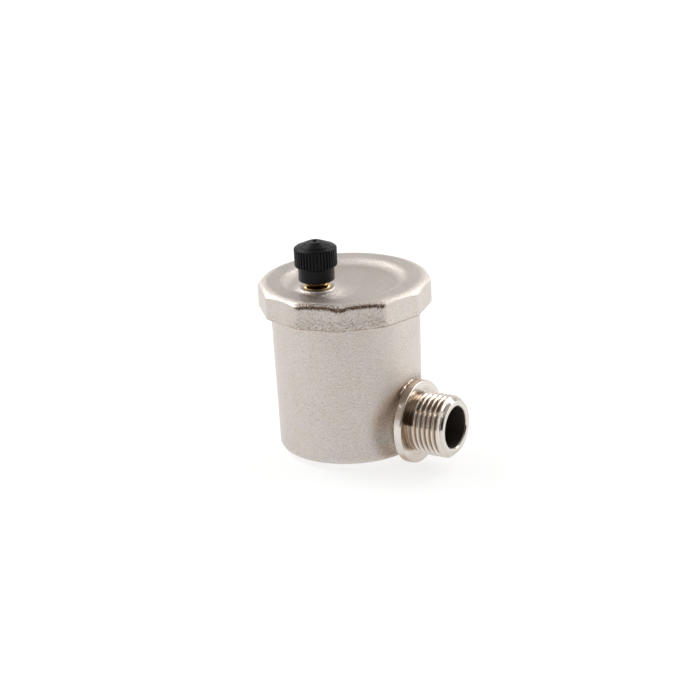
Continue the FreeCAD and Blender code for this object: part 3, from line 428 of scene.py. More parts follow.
def top_height(x, y):
    """The height of the cover's top: its flat ring, its dish and the nozzle's boss."""
    r = np.hypot(x, y)
    slope = DISH_FLOOR + (r - DISH_INNER) * (COVER_TOP - DISH_FLOOR) / (DISH_OUTER - DISH_INNER)
    dish = smooth_max(slope, DISH_FLOOR + 0 * r, 0.9 * MM)
    dish = -smooth_max(-dish, -COVER_TOP + 0 * r, 0.6 * MM)
    off = np.hypot(x - NOZZLE.x, y - NOZZLE.y)
    swell_top = BOSS_TOP - BOSS_STEP
    swell = swell_top - (swell_top - DISH_FLOOR) * (off - BOSS_RADIUS) / (BOSS_FOOT - BOSS_RADIUS)
    step = np.clip((off - BOSS_RADIUS) / (0.5 * MM), 0, 1)
    boss = np.minimum(swell, swell_top) + BOSS_STEP * (1 - step * step * (3 - 2 * step))
    return np.minimum(smooth_max(dish, boss, 1.1 * MM), BOSS_TOP)


def flash_line(bearing, seed):
    """An uneven line round the cover, from -1 to 1, as forging leaves it."""
    rng = np.random.default_rng(seed)
    line = np.zeros_like(bearing)
    for waves, size in ((23, 0.25), (61, 0.3), (127, 0.3), (211, 0.25), (337, 0.2)):
        line += size * np.sin(waves * bearing + rng.uniform(0, TURN))
    return line


def make_cover(material, sizes):
    """The cover, from the middle of its underside out and up over the flats to the middle of its dish."""
    bearing = cover_bearings()
    reach = flat_reach(bearing, sizes.corner)
    dome_start = COVER_FLAT / math.cos(TURN / FLATS / 2) - DOME_WIDTH
    dome_centre = COVER_TOP - DOME_ROUND
    rough_side = np.clip((math.radians(33) - np.abs(bearing - ROUGH_BEARING)) / math.radians(4), 0, 1)
    flash = sizes.flash * flash_line(bearing, 5) * (0.12 + 0.88 * rough_side)
    nick = 0.5 * sizes.flash * (0.5 + 0.5 * flash_line(bearing, 8)) * rough_side

    under = profile([
        (0.4 * MM, ROOF_UNDER, 0), (MOUTH_RADIUS, ROOF_UNDER, 0.2 * MM), (MOUTH_RADIUS, SKIRT_STEP, 0),
        (RIM_NECK + 0.05 * MM, SKIRT_STEP, 0), (RIM_NECK + 0.05 * MM, COVER_BOTTOM, 0.3 * MM),
        (RIM_NECK + COVER_HEM, COVER_BOTTOM, 0)])
    hem = profile([(COVER_HEM, COVER_BOTTOM, 0), (0, COVER_BOTTOM, 0.5 * MM), (0, FLAT_START, 0)])
    rows = [turned_about(Vector(), r, z, bearing) for r, z in under]
    rows += [turned_about(Vector(), reach - inset, z, bearing) for inset, z in hem]

    ridge = dome_centre + np.sqrt(DOME_ROUND ** 2 - (reach - dome_start) ** 2) + flash
    turn = np.arcsin((reach - dome_start) / DOME_ROUND)
    soft = sizes.ridge * np.tan((math.pi / 2 - turn) / 2)
    for share in (0.3, 0.6, 0.85):
        rows.append(turned_about(Vector(), reach, FLAT_START + (ridge - soft - FLAT_START) * share, bearing))
    before_ridge = len(rows)
    begin = turn - soft / DOME_ROUND

    def dome(lean):
        return dome_start + DOME_ROUND * np.sin(lean), dome_centre + DOME_ROUND * np.cos(lean)

    over_reach, over_height = dome(begin)
    for t in np.linspace(0, 1, 7):
        below, at, over = (1 - t) ** 2, 2 * t * (1 - t), t ** 2
        rows.append(turned_about(Vector(), (below + at) * reach + over * over_reach - at * nick,
                                 below * (ridge - soft) + at * ridge + over * over_height, bearing))
    after_ridge = len(rows)
    rows += [turned_about(Vector(), *dome(begin * (1 - share)), bearing) for share in np.linspace(0.12, 1, 9)]
    ring, dish, middle = np.arange(24.9, 22.2, -0.45), np.arange(22.0, 4.6, -0.2), np.arange(4.4, 0.3, -0.4)
    for r in np.concatenate([ring, dish, middle]) * MM:
        x, y = r * np.cos(bearing), r * np.sin(bearing)
        rows.append(np.stack([x, y, top_height(x, y)], -1))

    # Rows of the forging flash on the rough side; the material paints shade along them.
    line = np.zeros((len(rows), len(bearing)))
    line[before_ridge:after_ridge + 1] = rough_side
    line[after_ridge] *= np.where(bearing > ROUGH_BEARING, 1.0, 0.6)
    # Painted highlight: rows along the cover's domed edge, away from the rough side, which the material makes
    # lighter in colour.
    rubbed = np.zeros_like(line)
    rubbed[after_ridge - 2:after_ridge + 8] = 1 - rough_side
    hammered = np.zeros_like(line)
    hammered[before_ridge:after_ridge] = rough_side
    fading = np.array([1.0, 1.0, 0.85, 0.6, 0.3])[:, None]
    hammered[after_ridge:after_ridge + 5] = fading * rough_side * np.where(bearing < ROUGH_BEARING, 1.0, 0.65)
    piece = surface("twelve_sided_cover", np.array(rows), start=(0, 0, ROOF_UNDER), end=(0, 0, DISH_FLOOR),
                    marks={"forging_line": line, "hammered": hammered, "rubbed": rubbed})
    wear(piece, material, "valve", "cover")


# -------------------- the nozzle and its cap

def make_nozzle(material, sizes):
    """The nozzle, from its seat up over the collar and the thread, and down its bore."""
    angle = np.linspace(0, TURN, 144, endpoint=False)
    shank_bottom, root = SEAT + 0.6 * MM, NOZZLE_RADIUS - 0.58 * MM
    outline = profile([
        (ORIFICE_RADIUS, SEAT, 0), (SEAT_RADIUS, SEAT, 0.15 * MM), (SEAT_RADIUS, shank_bottom, 0.05 * MM),
        (SHANK_RADIUS, shank_bottom, 0.3 * MM), (SHANK_RADIUS, BOSS_TOP, 0),
        (COLLAR_RADIUS, BOSS_TOP, 0.1 * MM), (COLLAR_RADIUS, BOSS_TOP + 0.3 * MM, 0.12 * MM),
        (WAIST_RADIUS, COLLAR_TOP - 0.25 * MM, 1.0 * MM), (WAIST_RADIUS, COLLAR_TOP + 0.1 * MM, 0),
        (NOZZLE_RADIUS, COLLAR_TOP + 0.6 * MM, 0), (NOZZLE_RADIUS, NOZZLE_TIP - 0.5 * MM, 0),
        (NOZZLE_RADIUS - 0.5 * MM, NOZZLE_TIP, 0.12 * MM), (NOZZLE_BORE, NOZZLE_TIP, 0.15 * MM),
        (NOZZLE_BORE, SEAT + 2.3 * MM, 0), (ORIFICE_RADIUS, SEAT + 1.4 * MM, 0), (ORIFICE_RADIUS, SEAT, 0)])
    screwed = (outline[:, 1] > COLLAR_TOP) & (outline[:, 0] > root)
    rows = []
    for radius, height in divided(outline, screwed, 0.05 * MM):
        if height > COLLAR_TOP and radius > root:
            valley = NOZZLE_RADIUS - sizes.nozzle_depth * thread_valley(height, angle, sizes.nozzle_pitch)
            radius = np.minimum(radius, valley)
        rows.append(turned_about(NOZZLE, radius + 0 * angle, height, angle))
    piece = surface("threaded_nozzle", np.array(rows))
    wear(piece, material, "valve", "nozzle")


def make_cap(material, sizes):
    """The cap, from the top of its bore down its skirt, up over the ribs and in to the dimple."""
    angle = np.linspace(0, TURN, sizes.ribs * 12, endpoint=False)
    bore, seal_top = NOZZLE_RADIUS + 0.08 * MM, CAP_BOTTOM + 9.8 * MM
    outline = profile([
        (0.3 * MM, seal_top, 0), (bore, seal_top, 0), (bore, CAP_BOTTOM + 1.0 * MM, 0.1 * MM),
        (4.9 * MM, CAP_BOTTOM, 0.1 * MM), (SKIRT_RADIUS, CAP_BOTTOM, 0.3 * MM),
        (SKIRT_RADIUS, KNURL_BOTTOM - 0.6 * MM, 0.15 * MM), (KNURL_RADIUS, KNURL_BOTTOM, 0.25 * MM),
        (KNURL_RADIUS, KNURL_TOP, 0.25 * MM), (KNURL_RADIUS - 0.5 * MM, KNURL_TOP + 0.42 * MM, 0.3 * MM),
        (5.75 * MM, CAP_TOP - 1.48 * MM, 0.15 * MM), (5.5 * MM, CAP_TOP - 1.62 * MM, 0.1 * MM),
        (5.2 * MM, CAP_TOP - 1.22 * MM, 0.25 * MM), (3.25 * MM, CAP_SLOPE_END, 0.12 * MM),
        (2.75 * MM, CAP_SLOPE_END, 0.1 * MM), (2.35 * MM, CAP_TOP, 0.3 * MM), (1.3 * MM, CAP_TOP, 0.3 * MM),
        (0.8 * MM, CAP_DIMPLE, 0.2 * MM), (0.1 * MM, CAP_DIMPLE, 0)])
    ribbed = (outline[:, 1] > KNURL_BOTTOM - 0.7 * MM) & (outline[:, 0] > SKIRT_RADIUS + 0.4 * MM)
    beside = np.abs((angle * sizes.ribs / TURN + 0.5) % 1.0 - 0.5)
    gap = KNURL_RADIUS - sizes.rib_depth * np.exp(-(beside / 0.2) ** 4)
    rows = [turned_about(NOZZLE, np.minimum(radius, gap) + 0 * angle, height, angle)
            for radius, height in divided(outline, ribbed, 0.4 * MM)]
    piece = surface("knurled_cap", np.array(rows), start=(NOZZLE.x, NOZZLE.y, seal_top),
                    end=(NOZZLE.x, NOZZLE.y, CAP_DIMPLE))
    wear(piece, material, "cap", "vent_cap")


# -------------------- values that nodes work out

class Value:
    """A number or colour that a node works out, which can be reckoned with like a plain number."""

    def __init__(self, tree, socket):
        self.tree, self.socket = tree, socket

    def reckoned(self, operation, a, b):
        return found(self.tree, "Math", 0, {0: a, 1: b}, operation=operation)

    def __add__(self, other):
        return self.reckoned("ADD", self, other)

    def __sub__(self, other):
        return self.reckoned("SUBTRACT", self, other)

    def __mul__(self, other):
        return self.reckoned("MULTIPLY", self, other)

    def __truediv__(self, other):
        return self.reckoned("DIVIDE", self, other)

    def __rtruediv__(self, other):
        return self.reckoned("DIVIDE", other, self)

    def most(self, *others):
        """The greatest of this value and the others."""
        greatest = self
        for other in others:
            greatest = self.reckoned("MAXIMUM", greatest, other)
        return greatest

    def spread(self, low, high, to_low=0.0, to_high=1.0):
        """This value spread smoothly from one range to another."""
        return found(self.tree, "MapRange", 0, {0: self, 1: low, 2: high, 3: to_low, 4: to_high},
                     interpolation_type="SMOOTHSTEP")

    def past(self, place, low, high, to_low=0.0, to_high=1.0):
        """This value spread from low to high millimetres past a place."""
        return self.spread(place + low * MM, place + high * MM, to_low, to_high)


def add(tree, kind, inputs=None, **settings):
    """Adds a shader node, sets its own settings, and sets or links its inputs."""
    node = tree.nodes.new("ShaderNode" + kind)
    for name, value in settings.items():
        setattr(node, name, value)
    for name, value in (inputs or {}).items():
        if isinstance(value, Value):
            tree.links.new(value.socket, node.inputs[name])
        else:
            node.inputs[name].default_value = value
    return node


def found(tree, kind, output, inputs=None, **settings):
    """One output of a new node, as a value."""
    return Value(tree, add(tree, kind, inputs, **settings).outputs[output])


def where(tree):
    """The point's place in the shared frame."""
    return found(tree, "TexCoord", "Object")


def part_of(vector, axis):
    """A vector's X, Y or Z."""
    return found(vector.tree, "SeparateXYZ", axis, {0: vector})


def vector_sum(operation, a, b=(0, 0, 0)):
    """One sum of two vectors, or of one for a length."""
    output = "Value" if operation in ("DOT_PRODUCT", "LENGTH") else "Vector"
    return found(a.tree, "VectorMath", output, {0: a, 1: b}, operation=operation)


def from_axis(place, centre, across):
    """The distance from an axis through a centre. Across is 1 in each direction that counts."""
    return vector_sum("LENGTH", vector_sum("MULTIPLY", vector_sum("SUBTRACT", place, centre), across))


def noise(tree, detail, roughness=0.5, **inputs):
    """Soft noise of one or three dimensions, by whether it is given W or Vector."""
    dimensions = "1D" if "W" in inputs else "3D"
    return found(tree, "TexNoise", "Fac", {**inputs, "Detail": detail, "Roughness": roughness},
                 noise_dimensions=dimensions)


def blotches(place, size, low, high):
    """A mask of blotches of this size."""
    return noise(place.tree, 4.0, 0.65, Vector=place, Scale=1 / size).spread(low, high)


def mixed(share, a, b):
    """Two colours mixed by a mask."""
    a, b = (colour if isinstance(colour, Value) else (*colour, 1.0) for colour in (a, b))
    return found(share.tree, "Mix", 2, {0: share, 6: a, 7: b}, data_type="RGBA")


def layered(base, *layers):
    """A colour under layers, each a mask and its colour."""
    for share, colour in layers:
        base = mixed(share, base, colour)
    return base


def shade(colour, factor):
    """A colour made lighter or darker."""
    return tuple(min(1.0, channel * factor) for channel in colour)


# -------------------- effects that several finishes share

def new_effect(name, inputs):
    """An empty node group, and the values that go into it."""
    tree = bpy.data.node_groups.new(name, "ShaderNodeTree")
    for label, value in inputs.items():
        kind = "NodeSocketVector" if isinstance(value, tuple) else "NodeSocketFloat"
        tree.interface.new_socket(name=label, in_out="INPUT", socket_type=kind).default_value = value
    given = tree.nodes.new("NodeGroupInput").outputs
    return tree, {label: Value(tree, given[label]) for label in inputs}


def effect_gives(tree, **outcomes):
    """Lets a node group give these values."""
    for label in outcomes:
        tree.interface.new_socket(name=label, in_out="OUTPUT", socket_type="NodeSocketFloat")
    given = tree.nodes.new("NodeGroupOutput").inputs
    for label, value in outcomes.items():
        tree.links.new(value.socket, given[label])


def effect(tree, name, **inputs):
    """One of the shared effects, placed with its own values."""
    node = add(tree, "Group", node_tree=bpy.data.node_groups[name])
    for label, value in inputs.items():
        node.inputs[label.replace("_", " ")].default_value = value
    return {socket.name: Value(tree, socket) for socket in node.outputs}


def blasted_grain():
    """Fine pits and slow unevenness, as blasting leaves on a casting."""
    tree, given = new_effect("Blasted Grain", {"Grain Size": 0.3 * MM, "Patch Size": 8 * MM})
    place, fine = where(tree), 1.0 / given["Grain Size"]
    grain = noise(tree, 3.0, 0.6, Vector=place, Scale=fine)
    pits = found(tree, "TexVoronoi", "Distance", {"Vector": place, "Scale": fine * 0.7}, feature="SMOOTH_F1")
    slow = noise(tree, 4.0, 0.55, Vector=place, Scale=1.0 / given["Patch Size"])
    effect_gives(tree, Height=grain * 0.65 + pits * 0.35, Speck=grain.spread(0.35, 0.7),
                 Pit=grain.spread(0.50, 0.36), Patch=slow.spread(0.3, 0.7))


def turning_marks():
    """Fine rings about an axis, on faces as well as on round walls, as a lathe tool leaves."""
    tree, given = new_effect("Turning Marks", {"Centre": (0, 0, 0), "Axis": (0, 0, 1), "Spacing": 0.12 * MM})
    offset = vector_sum("SUBTRACT", where(tree), given["Centre"])
    along = vector_sum("DOT_PRODUCT", offset, given["Axis"])
    radius = vector_sum("LENGTH", vector_sum("CROSS_PRODUCT", offset, given["Axis"]))
    rings = (along + radius) / given["Spacing"]
    effect_gives(tree, Height=noise(tree, 2.0, W=rings, Scale=1.0),
                 Streak=noise(tree, 3.0, W=rings * 0.23, Scale=1.0).spread(0.3, 0.7))


def worn_edges():
    """A mask that is high on the sharpest edges and breaks up along them, and one for hollows."""
    tree, given = new_effect("Worn Edges", {"Patchiness": 0.8 * MM})
    sharp = found(tree, "NewGeometry", "Pointiness")
    breaks = noise(tree, 3.0, Vector=where(tree), Scale=1.0 / given["Patchiness"]).spread(0.35, 0.6)
    effect_gives(tree, Mask=sharp.spread(0.52, 0.60) * breaks, Hollow=sharp.spread(0.48, 0.42))


# -------------------- finishes

def new_finish(name):
    """A new material and its node tree."""
    material = bpy.data.materials.new(name)
    material.use_nodes = True
    return material, material.node_tree


def finished(material, colour, roughness, relief, depth, metallic=1.0, gloss=0.5):
    """Links a finish's colour, its roughness and its relief of this real depth to its shader."""
    tree = material.node_tree
    shader = tree.nodes["Principled BSDF"]
    bump = found(tree, "Bump", 0, {"Height": relief, "Distance": depth, "Strength": 1.0})
    for name, value in (("Base Color", colour), ("Roughness", roughness), ("Normal", bump)):
        tree.links.new(value.socket, shader.inputs[name])
    shader.inputs["Metallic"].default_value = metallic
    shader.inputs["Specular IOR Level"].default_value = gloss


def blasted_nickel(name, finishes):
    """Nickel over a blasted casting: coarse on the cover's rough side, filmed brown on the inlet's neck."""
    material, tree = new_finish(name)
    place = where(tree)
    x, y, height = (part_of(place, axis) for axis in "XYZ")
    grain = effect(tree, "Blasted Grain", Grain_Size=0.4 * MM, Patch_Size=9 * MM)
    chips = effect(tree, "Blasted Grain", Grain_Size=0.72 * MM, Patch_Size=4 * MM)
    edges = effect(tree, "Worn Edges", Patchiness=0.7 * MM)
    line, hammered, rubbed = (found(tree, "Attribute", "Fac", attribute_name=mark)
                              for mark in ("forging_line", "hammered", "rubbed"))

    ahead = vector_sum("DOT_PRODUCT", place, (math.cos(ROUGH_BEARING), math.sin(ROUGH_BEARING), 0))
    coarse = ahead.past(COVER_FLAT, -7.5, -2.7) * height.past(COVER_BOTTOM, -0.5, 0)
    low = height.past(COVER_BOTTOM, 5, 1, 0.45, 1.0)
    rugged = (coarse * low).most(hammered)
    # Painted shade: a dark, broken line along the forging flash on the rough side, which is also made rougher.
    painted_seam_shade = line.spread(0.3, 0.8) * blotches(place, 0.6 * MM, 0.34, 0.47)
    dents = hammered * blotches(place, 0.55 * MM, 0.44, 0.51)
    reach = from_axis(place, (0, 0, 0), (1, 1, 0))
    # Painted shade: a thin dark line along the cover's lower edge, in the tarnish brown, broken into blotches.
    painted_hem_shade = (height.past(COVER_BOTTOM, 0.7, 0.25) * reach.past(COVER_FLAT, -2.8, -2.0)
            * blotches(place, 1.2 * MM, 0.38, 0.52))
    # Where points of the mesh lie very close together, as in the dish, the mask of edges goes wrong
    worn = edges["Mask"] * reach.past(DISH_OUTER, 0.5, 1.5)

    off = from_axis(place, (0, 0, INLET_HEIGHT), (0, 1, 1))
    neck = off.past(NECK_RADIUS, 6.9, 2.6) * x.spread(14.5 * MM, 19.5 * MM)
    upper = (height.past(INLET_HEIGHT, -3, 5)
             * blotches(place, 0.5 * MM, 0.3, 0.65).spread(0.0, 1.0, 0.5, 1.0))
    lower = height.past(INLET_HEIGHT, -3, -7) * blotches(place, 0.6 * MM, 0.42, 0.58)
    film = neck * y.spread(-1 * MM, -6 * MM, 0.1, 1.0) * upper.most(lower)

    red, green, blue = finishes.blasted
    plate = layered(
        mixed(chips["Patch"], (red, green, blue * 0.965), (red, green * 0.99, blue * 1.02)),
        (grain["Patch"] * 0.08, WHITE),
        # painted highlight along the cover's domed edge
        (rubbed, shade(finishes.blasted, 1.16)),
        # The grain's pits are made darker: partly painted shade in the pits, partly a darker speck tone.
        (grain["Pit"] * 0.38, shade(finishes.blasted, 0.42)),
        (chips["Pit"] * rugged.most(neck * 0.55) * 0.6, shade(finishes.tarnish_and_shade, 0.8)),
        # painted shade along the cover's lower edge
        (painted_hem_shade * 0.75, finishes.tarnish_and_shade),
        (film * 0.42, shade(finishes.tarnish_and_shade, 2.2)),
        (dents * 0.88, shade(finishes.tarnish_and_shade, 0.5)),
        # painted shade along the forging flash
        (painted_seam_shade * 0.85, shade(finishes.tarnish_and_shade, 0.3)))
    roughness = grain["Patch"] * 0.05 + 0.36 + painted_seam_shade * 0.2 + neck * 0.38 - worn * 0.12
    relief = grain["Height"] * 0.7 + chips["Height"] * (rugged * 1.5).most(neck * 0.5)
    finished(material, plate, roughness, relief, depth=0.4 * MM)


def machined_nickel(name, finishes):
    """Nickel over a turned surface, filmed brown with painted shade in the roots and hollows, filmed brown on the
    flange and darker towards the bottom, with stains and a painted reflection on the flange's upper rim, painted
    shade on its lower rim, and dark in the bore as painted shade.
    """
    material, tree = new_finish(name)
    place = where(tree)
    along, height = part_of(place, "X"), part_of(place, "Z")
    marks = effect(tree, "Turning Marks", Centre=(0, 0, INLET_HEIGHT), Axis=(1, 0, 0), Spacing=0.16 * MM)
    edges = effect(tree, "Worn Edges", Patchiness=0.5 * MM)
    grain = effect(tree, "Blasted Grain", Grain_Size=0.25 * MM, Patch_Size=5 * MM)

    off = from_axis(place, (0, 0, INLET_HEIGHT), (0, 1, 1))
    inside = off.past(BORE_RADIUS, 0.3, 0.1)
    root = off.past(THREAD_RADIUS, -0.35, -1.0) * along.past(INLET_END, -1.2, -1.8)
    splash = (off.spread(FLANGE_RADIUS - 0.8 * MM, RELIEF_RADIUS + 0.4 * MM)
              * blotches(place, 1.6 * MM, 0.35, 0.65)
              * along.past(FLANGE_FRONT, 0.3, 0.1, 0.0, 0.45))
    low = height.past(INLET_HEIGHT, -6, -10, 0.0, 0.26)
    # The hollows and the thread's roots are darkened, partly as brown film and partly as painted shade; the
    # flange's front gets brown blotches; and the spigot is made darker towards the bottom.
    film = (edges["Hollow"].most(root) * 0.75).most(splash, low)
    # On the flange's rim: stains and a painted reflection of the neck on the upper part, and painted shade along
    # the lower edge.
    rim = off.past(FLANGE_RADIUS, -0.4, -0.1) * along.past(FLANGE_FRONT, 0.1, -0.3)
    upper_rim_stain_and_reflection = height.past(INLET_HEIGHT, 3, 7) * blotches(place, 0.7 * MM, 0.25, 0.6)
    painted_rim_bottom_shade = height.past(INLET_HEIGHT, -6.5, -9.5)
    stain_and_painted_shade = rim * upper_rim_stain_and_reflection.most(painted_rim_bottom_shade)

    plate = layered(mixed(marks["Streak"], shade(finishes.machined, 0.93), shade(finishes.machined, 1.08)),
                    (film, finishes.tarnish_and_shade), (stain_and_painted_shade * 0.6, shade(finishes.tarnish_and_shade, 1.5)),
                    # painted shade: the bore is coloured dark
                    (inside, finishes.bore))
    roughness = (grain["Patch"] * 0.07 + 0.09 + stain_and_painted_shade * 0.35).most(inside * 0.5)
    finished(material, plate, roughness, marks["Height"], depth=0.006 * MM)


def turned_brass(name, finishes):
    """Bright turned brass, darkened with painted shade of the cap in the gap between the nozzle's collar and its
    cap and on the collar's low wall.
    """
    material, tree = new_finish(name)
    place = where(tree)
    height = part_of(place, "Z")
    marks = effect(tree, "Turning Marks", Centre=tuple(NOZZLE), Axis=(0, 0, 1), Spacing=0.11 * MM)
    grain = effect(tree, "Blasted Grain", Grain_Size=0.3 * MM, Patch_Size=3 * MM)
    # Painted shade of the cap: the neck between the collar and the cap, and the collar's low wall, are darkened.
    gap = (height.past(BOSS_TOP, 0.5, 0.9) * height.past(CAP_BOTTOM, 1.6, 0.4)
           * from_axis(place, tuple(NOZZLE), (1, 1, 0)).spread(COLLAR_RADIUS, NOZZLE_RADIUS + 0.2 * MM))
    wall = height.past(BOSS_TOP, 0.5, 0.2)
    brass = layered(mixed(marks["Streak"], shade(finishes.brass, 0.9), shade(finishes.brass, 1.06)),
                    (grain["Patch"] * 0.25, shade(finishes.brass, 0.75)),
                    ((gap * 0.6).most(wall * 0.4), finishes.stain_and_painted_shade))
    finished(material, brass, grain["Speck"] * 0.1 + 0.14, marks["Height"], depth=0.005 * MM)


def stainless(name, finishes):
    """Rolled stainless sheet and drawn wire, with a fine grain along it."""
    material, tree = new_finish(name)
    drawn = vector_sum("MULTIPLY", where(tree), (1.0, 1.0, 0.06))
    lines = noise(tree, 2.0, Vector=drawn, Scale=1 / (0.12 * MM))
    edges = effect(tree, "Worn Edges", Patchiness=0.5 * MM)
    steel = layered(mixed(lines.spread(0.35, 0.65), shade(finishes.steel, 0.9), shade(finishes.steel, 1.1)),
                    (edges["Mask"], shade(finishes.steel, 1.3)))
    finished(material, steel, lines.spread(0.2, 0.8, 0.24, 0.36), lines, depth=0.004 * MM)


def moulded(name, colour, roughness, lift, depth, gloss=0.5):
    """A moulded plastic or rubber with a fine skin, a little lighter on its edges by the lift."""
    material, tree = new_finish(name)
    skin = effect(tree, "Blasted Grain", Grain_Size=0.22 * MM, Patch_Size=4 * MM)
    edges = effect(tree, "Worn Edges", Patchiness=0.6 * MM)
    lighter = tuple(min(1.0, channel + lift) for channel in colour)
    base = mixed(edges["Mask"] * 0.5, mixed(skin["Patch"], shade(colour, 0.9), shade(colour, 1.15)), lighter)
    finished(material, base, skin["Speck"].spread(0.0, 1.0, roughness - 0.04, roughness + 0.05),
             skin["Height"], depth, metallic=0.0, gloss=gloss)


def cap_plastic(name, finishes):
    """Black plastic with a satin skin."""
    moulded(name, finishes.cap, roughness=0.3, lift=0.01, depth=0.012 * MM, gloss=0.17)


def seal_rubber(name, finishes):
    """Matt black rubber."""
    moulded(name, finishes.rubber, roughness=0.6, lift=0.02, depth=0.01 * MM)


def float_plastic(name, finishes):
    """Pale plastic, as moulded."""
    moulded(name, finishes.float_plastic, roughness=0.38, lift=0.05, depth=0.008 * MM)


FINISHES = {"nickel_casting": ("Blasted nickel", blasted_nickel),
            "turned_nickel": ("Machined nickel", machined_nickel),
            "turned_brass": ("Turned brass", turned_brass), "stainless": ("Rolled stainless", stainless),
            "black_plastic": ("Cap plastic", cap_plastic), "black_rubber": ("Seal rubber", seal_rubber),
            "float_plastic": ("Float plastic", float_plastic)}


def finish_of(node):
    """The material for a node of the frame, made the first time that it is wanted."""
    if "Worn Edges" not in bpy.data.node_groups:
        blasted_grain()
        turning_marks()
        worn_edges()
    name, make = FINISHES[SLOT_OF[node]]
    if name not in bpy.data.materials:
        make(name, bpy.context.scene.vent_finishes)
    return bpy.data.materials[name]


# -------------------- the studio

def camera_axes(studio):
    """The camera's right, up and back directions."""
    a, e, roll = studio.azimuth, studio.elevation, studio.roll
    back = Vector((math.sin(a) * math.cos(e), -math.cos(a) * math.cos(e), math.sin(e)))
    level = Vector((math.cos(a), math.sin(a), 0))
    upright = back.cross(level)
    right = level * math.cos(roll) + upright * math.sin(roll)
    return right, back.cross(right), back


def place_camera(studio):
    """A camera aimed a little beside and over the cup's base."""
    right, up, back = camera_axes(studio)
    data = bpy.data.cameras.new("studio_camera")
    data.lens, data.sensor_width = studio.lens, 36
    data.clip_start, data.clip_end = 0.01, 50
    camera = bpy.data.objects.new("studio_camera", data)
    axes = Matrix((right, up, back)).transposed().to_4x4()
    axes.translation = back * studio.distance + right * studio.aside + up * studio.above
    camera.matrix_world = axes
    bpy.context.scene.collection.objects.link(camera)
    bpy.context.scene.camera = camera


def pale_floor():
    """A pale floor that shows white and keeps the vent's shadow."""
    material = bpy.data.materials.new("Pale floor")
    material.use_nodes = True
    tree = material.node_tree
    tree.nodes.clear()
    pale = mixed(noise(tree, 3.0, Vector=where(tree), Scale=14.0), shade(WHITE, 0.30), shade(WHITE, 0.32))
    matt = found(tree, "BsdfDiffuse", 0, {"Color": pale})
    glow = found(tree, "Emission", 0, {"Color": (*WHITE, 1.0), "Strength": FLOOR_GLOW})
    both = found(tree, "AddShader", 0, {0: matt, 1: glow})
    add(tree, "OutputMaterial", {"Surface": both})
    return material


def place_floor():
    """The vent leans on its flange and on the far edge of its base, so the floor tilts with it."""
    far = -(BASE_RADIUS - BASE_ROUND)
    tilt = math.atan2(-SPIGOT_LOW.z, FLANGE_BACK - far)
    steps = np.linspace(-FLOOR_HALF, FLOOR_HALF, 25).tolist()
    points = [(x, y, 0) for x in steps for y in steps]
    index = np.arange(len(points)).reshape(len(steps), -1)
    faces = np.stack([index[:-1, :-1], index[1:, :-1], index[1:, 1:], index[:-1, 1:]], -1).reshape(-1, 4)
    mesh = bpy.data.meshes.new("studio_floor")
    mesh.from_pydata(points, [], faces.tolist())
    mesh.materials.append(pale_floor())
    floor = bpy.data.objects.new("studio_floor", mesh)
    floor.matrix_world = Matrix.Translation((far, 0, -FLOOR_GAP)) @ Matrix.Rotation(tilt, 4, "Y")
    bpy.context.scene.collection.objects.link(floor)


def white_room(front):
    """A white room, dimmer overhead and dark behind the camera."""
    world = bpy.data.worlds.new("Studio room")
    bpy.context.scene.world = world
    world.use_nodes = True
    tree = world.node_tree
    tree.nodes.clear()
    way = found(tree, "TexCoord", "Generated")
    toward = vector_sum("DOT_PRODUCT", way, tuple(front))
    height = part_of(way, "Z")
    room = layered(mixed(height.spread(0.12, 0.46), (1.0, 0.99, 0.98), (0.56, 0.55, 0.54)),
                   (height.spread(0.5, 0.85), (0.40, 0.39, 0.38)),
                   (toward.spread(0.4, 0.8), (0.05, 0.036, 0.028)),
                   (toward.spread(-0.7, -0.92) * height.spread(0.3, 0.15, 0.0, 0.4), (0.5, 0.49, 0.48)),
                   (found(tree, "LightPath", "Is Camera Ray"), WHITE))
    glow = found(tree, "Background", 0, {"Color": room, "Strength": 1.0})
    add(tree, "OutputWorld", {"Surface": glow})


def place_lamp(name, away, strength):
    """A soft rectangular lamp that shines at the vent from this way."""
    data = bpy.data.lights.new(name, "AREA")
    data.shape, data.size, data.size_y = "RECTANGLE", LAMP_WIDTH, LAMP_HEIGHT
    data.energy = strength * math.pi * data.size * data.size_y
    lamp = bpy.data.objects.new(name, data)
    lamp.matrix_world = (Matrix.Translation(Vector((0, 0, RIM_TOP / 2)) + away * LAMP_DISTANCE)
                         @ away.to_track_quat("Z", "Y").to_matrix().to_4x4())
    bpy.context.scene.collection.objects.link(lamp)


def light_studio(studio):
    """The room, with two soft boxes and two side panels."""
    back = camera_axes(studio)[2]
    front = Vector((back.x, back.y, 0)).normalized()
    side = Vector((-front.y, front.x, 0))
    white_room(front)
    for name, bearing, elevation, strength in (
            ("soft_box_left", -studio.box_bearing, studio.box_elevation, studio.boxes),
            ("soft_box_right", studio.box_bearing, studio.box_elevation, studio.boxes),
            ("panel_right", studio.panel_bearing, studio.panel_elevation, studio.panel),
            ("panel_left", -studio.panel_bearing, studio.left_elevation, studio.panel)):
        level = side * math.sin(bearing) - front * math.cos(bearing)
        place_lamp(name, level * math.cos(elevation) + Vector((0, 0, math.sin(elevation))), strength)


# -------------------- operators

class VENT_OT_cup(bpy.types.Operator):
    """Make the cast cup with its flared neck and its chamber"""
    bl_idname = "vent.make_cup"
    bl_label = "Cast cup"

    def execute(self, context):
        make_cup(finish_of("vent_body"))
        return {"FINISHED"}


class VENT_OT_inlet(bpy.types.Operator):
    """Make the flange, the threaded spigot and its bore"""
    bl_idname = "vent.make_inlet"
    bl_label = "Threaded inlet"

    def execute(self, context):
        nickel = finish_of("inlet_spigot")
        make_inlet(nickel, context.scene.vent_sizes)
        make_bead(nickel, context.scene.vent_sizes)
        return {"FINISHED"}


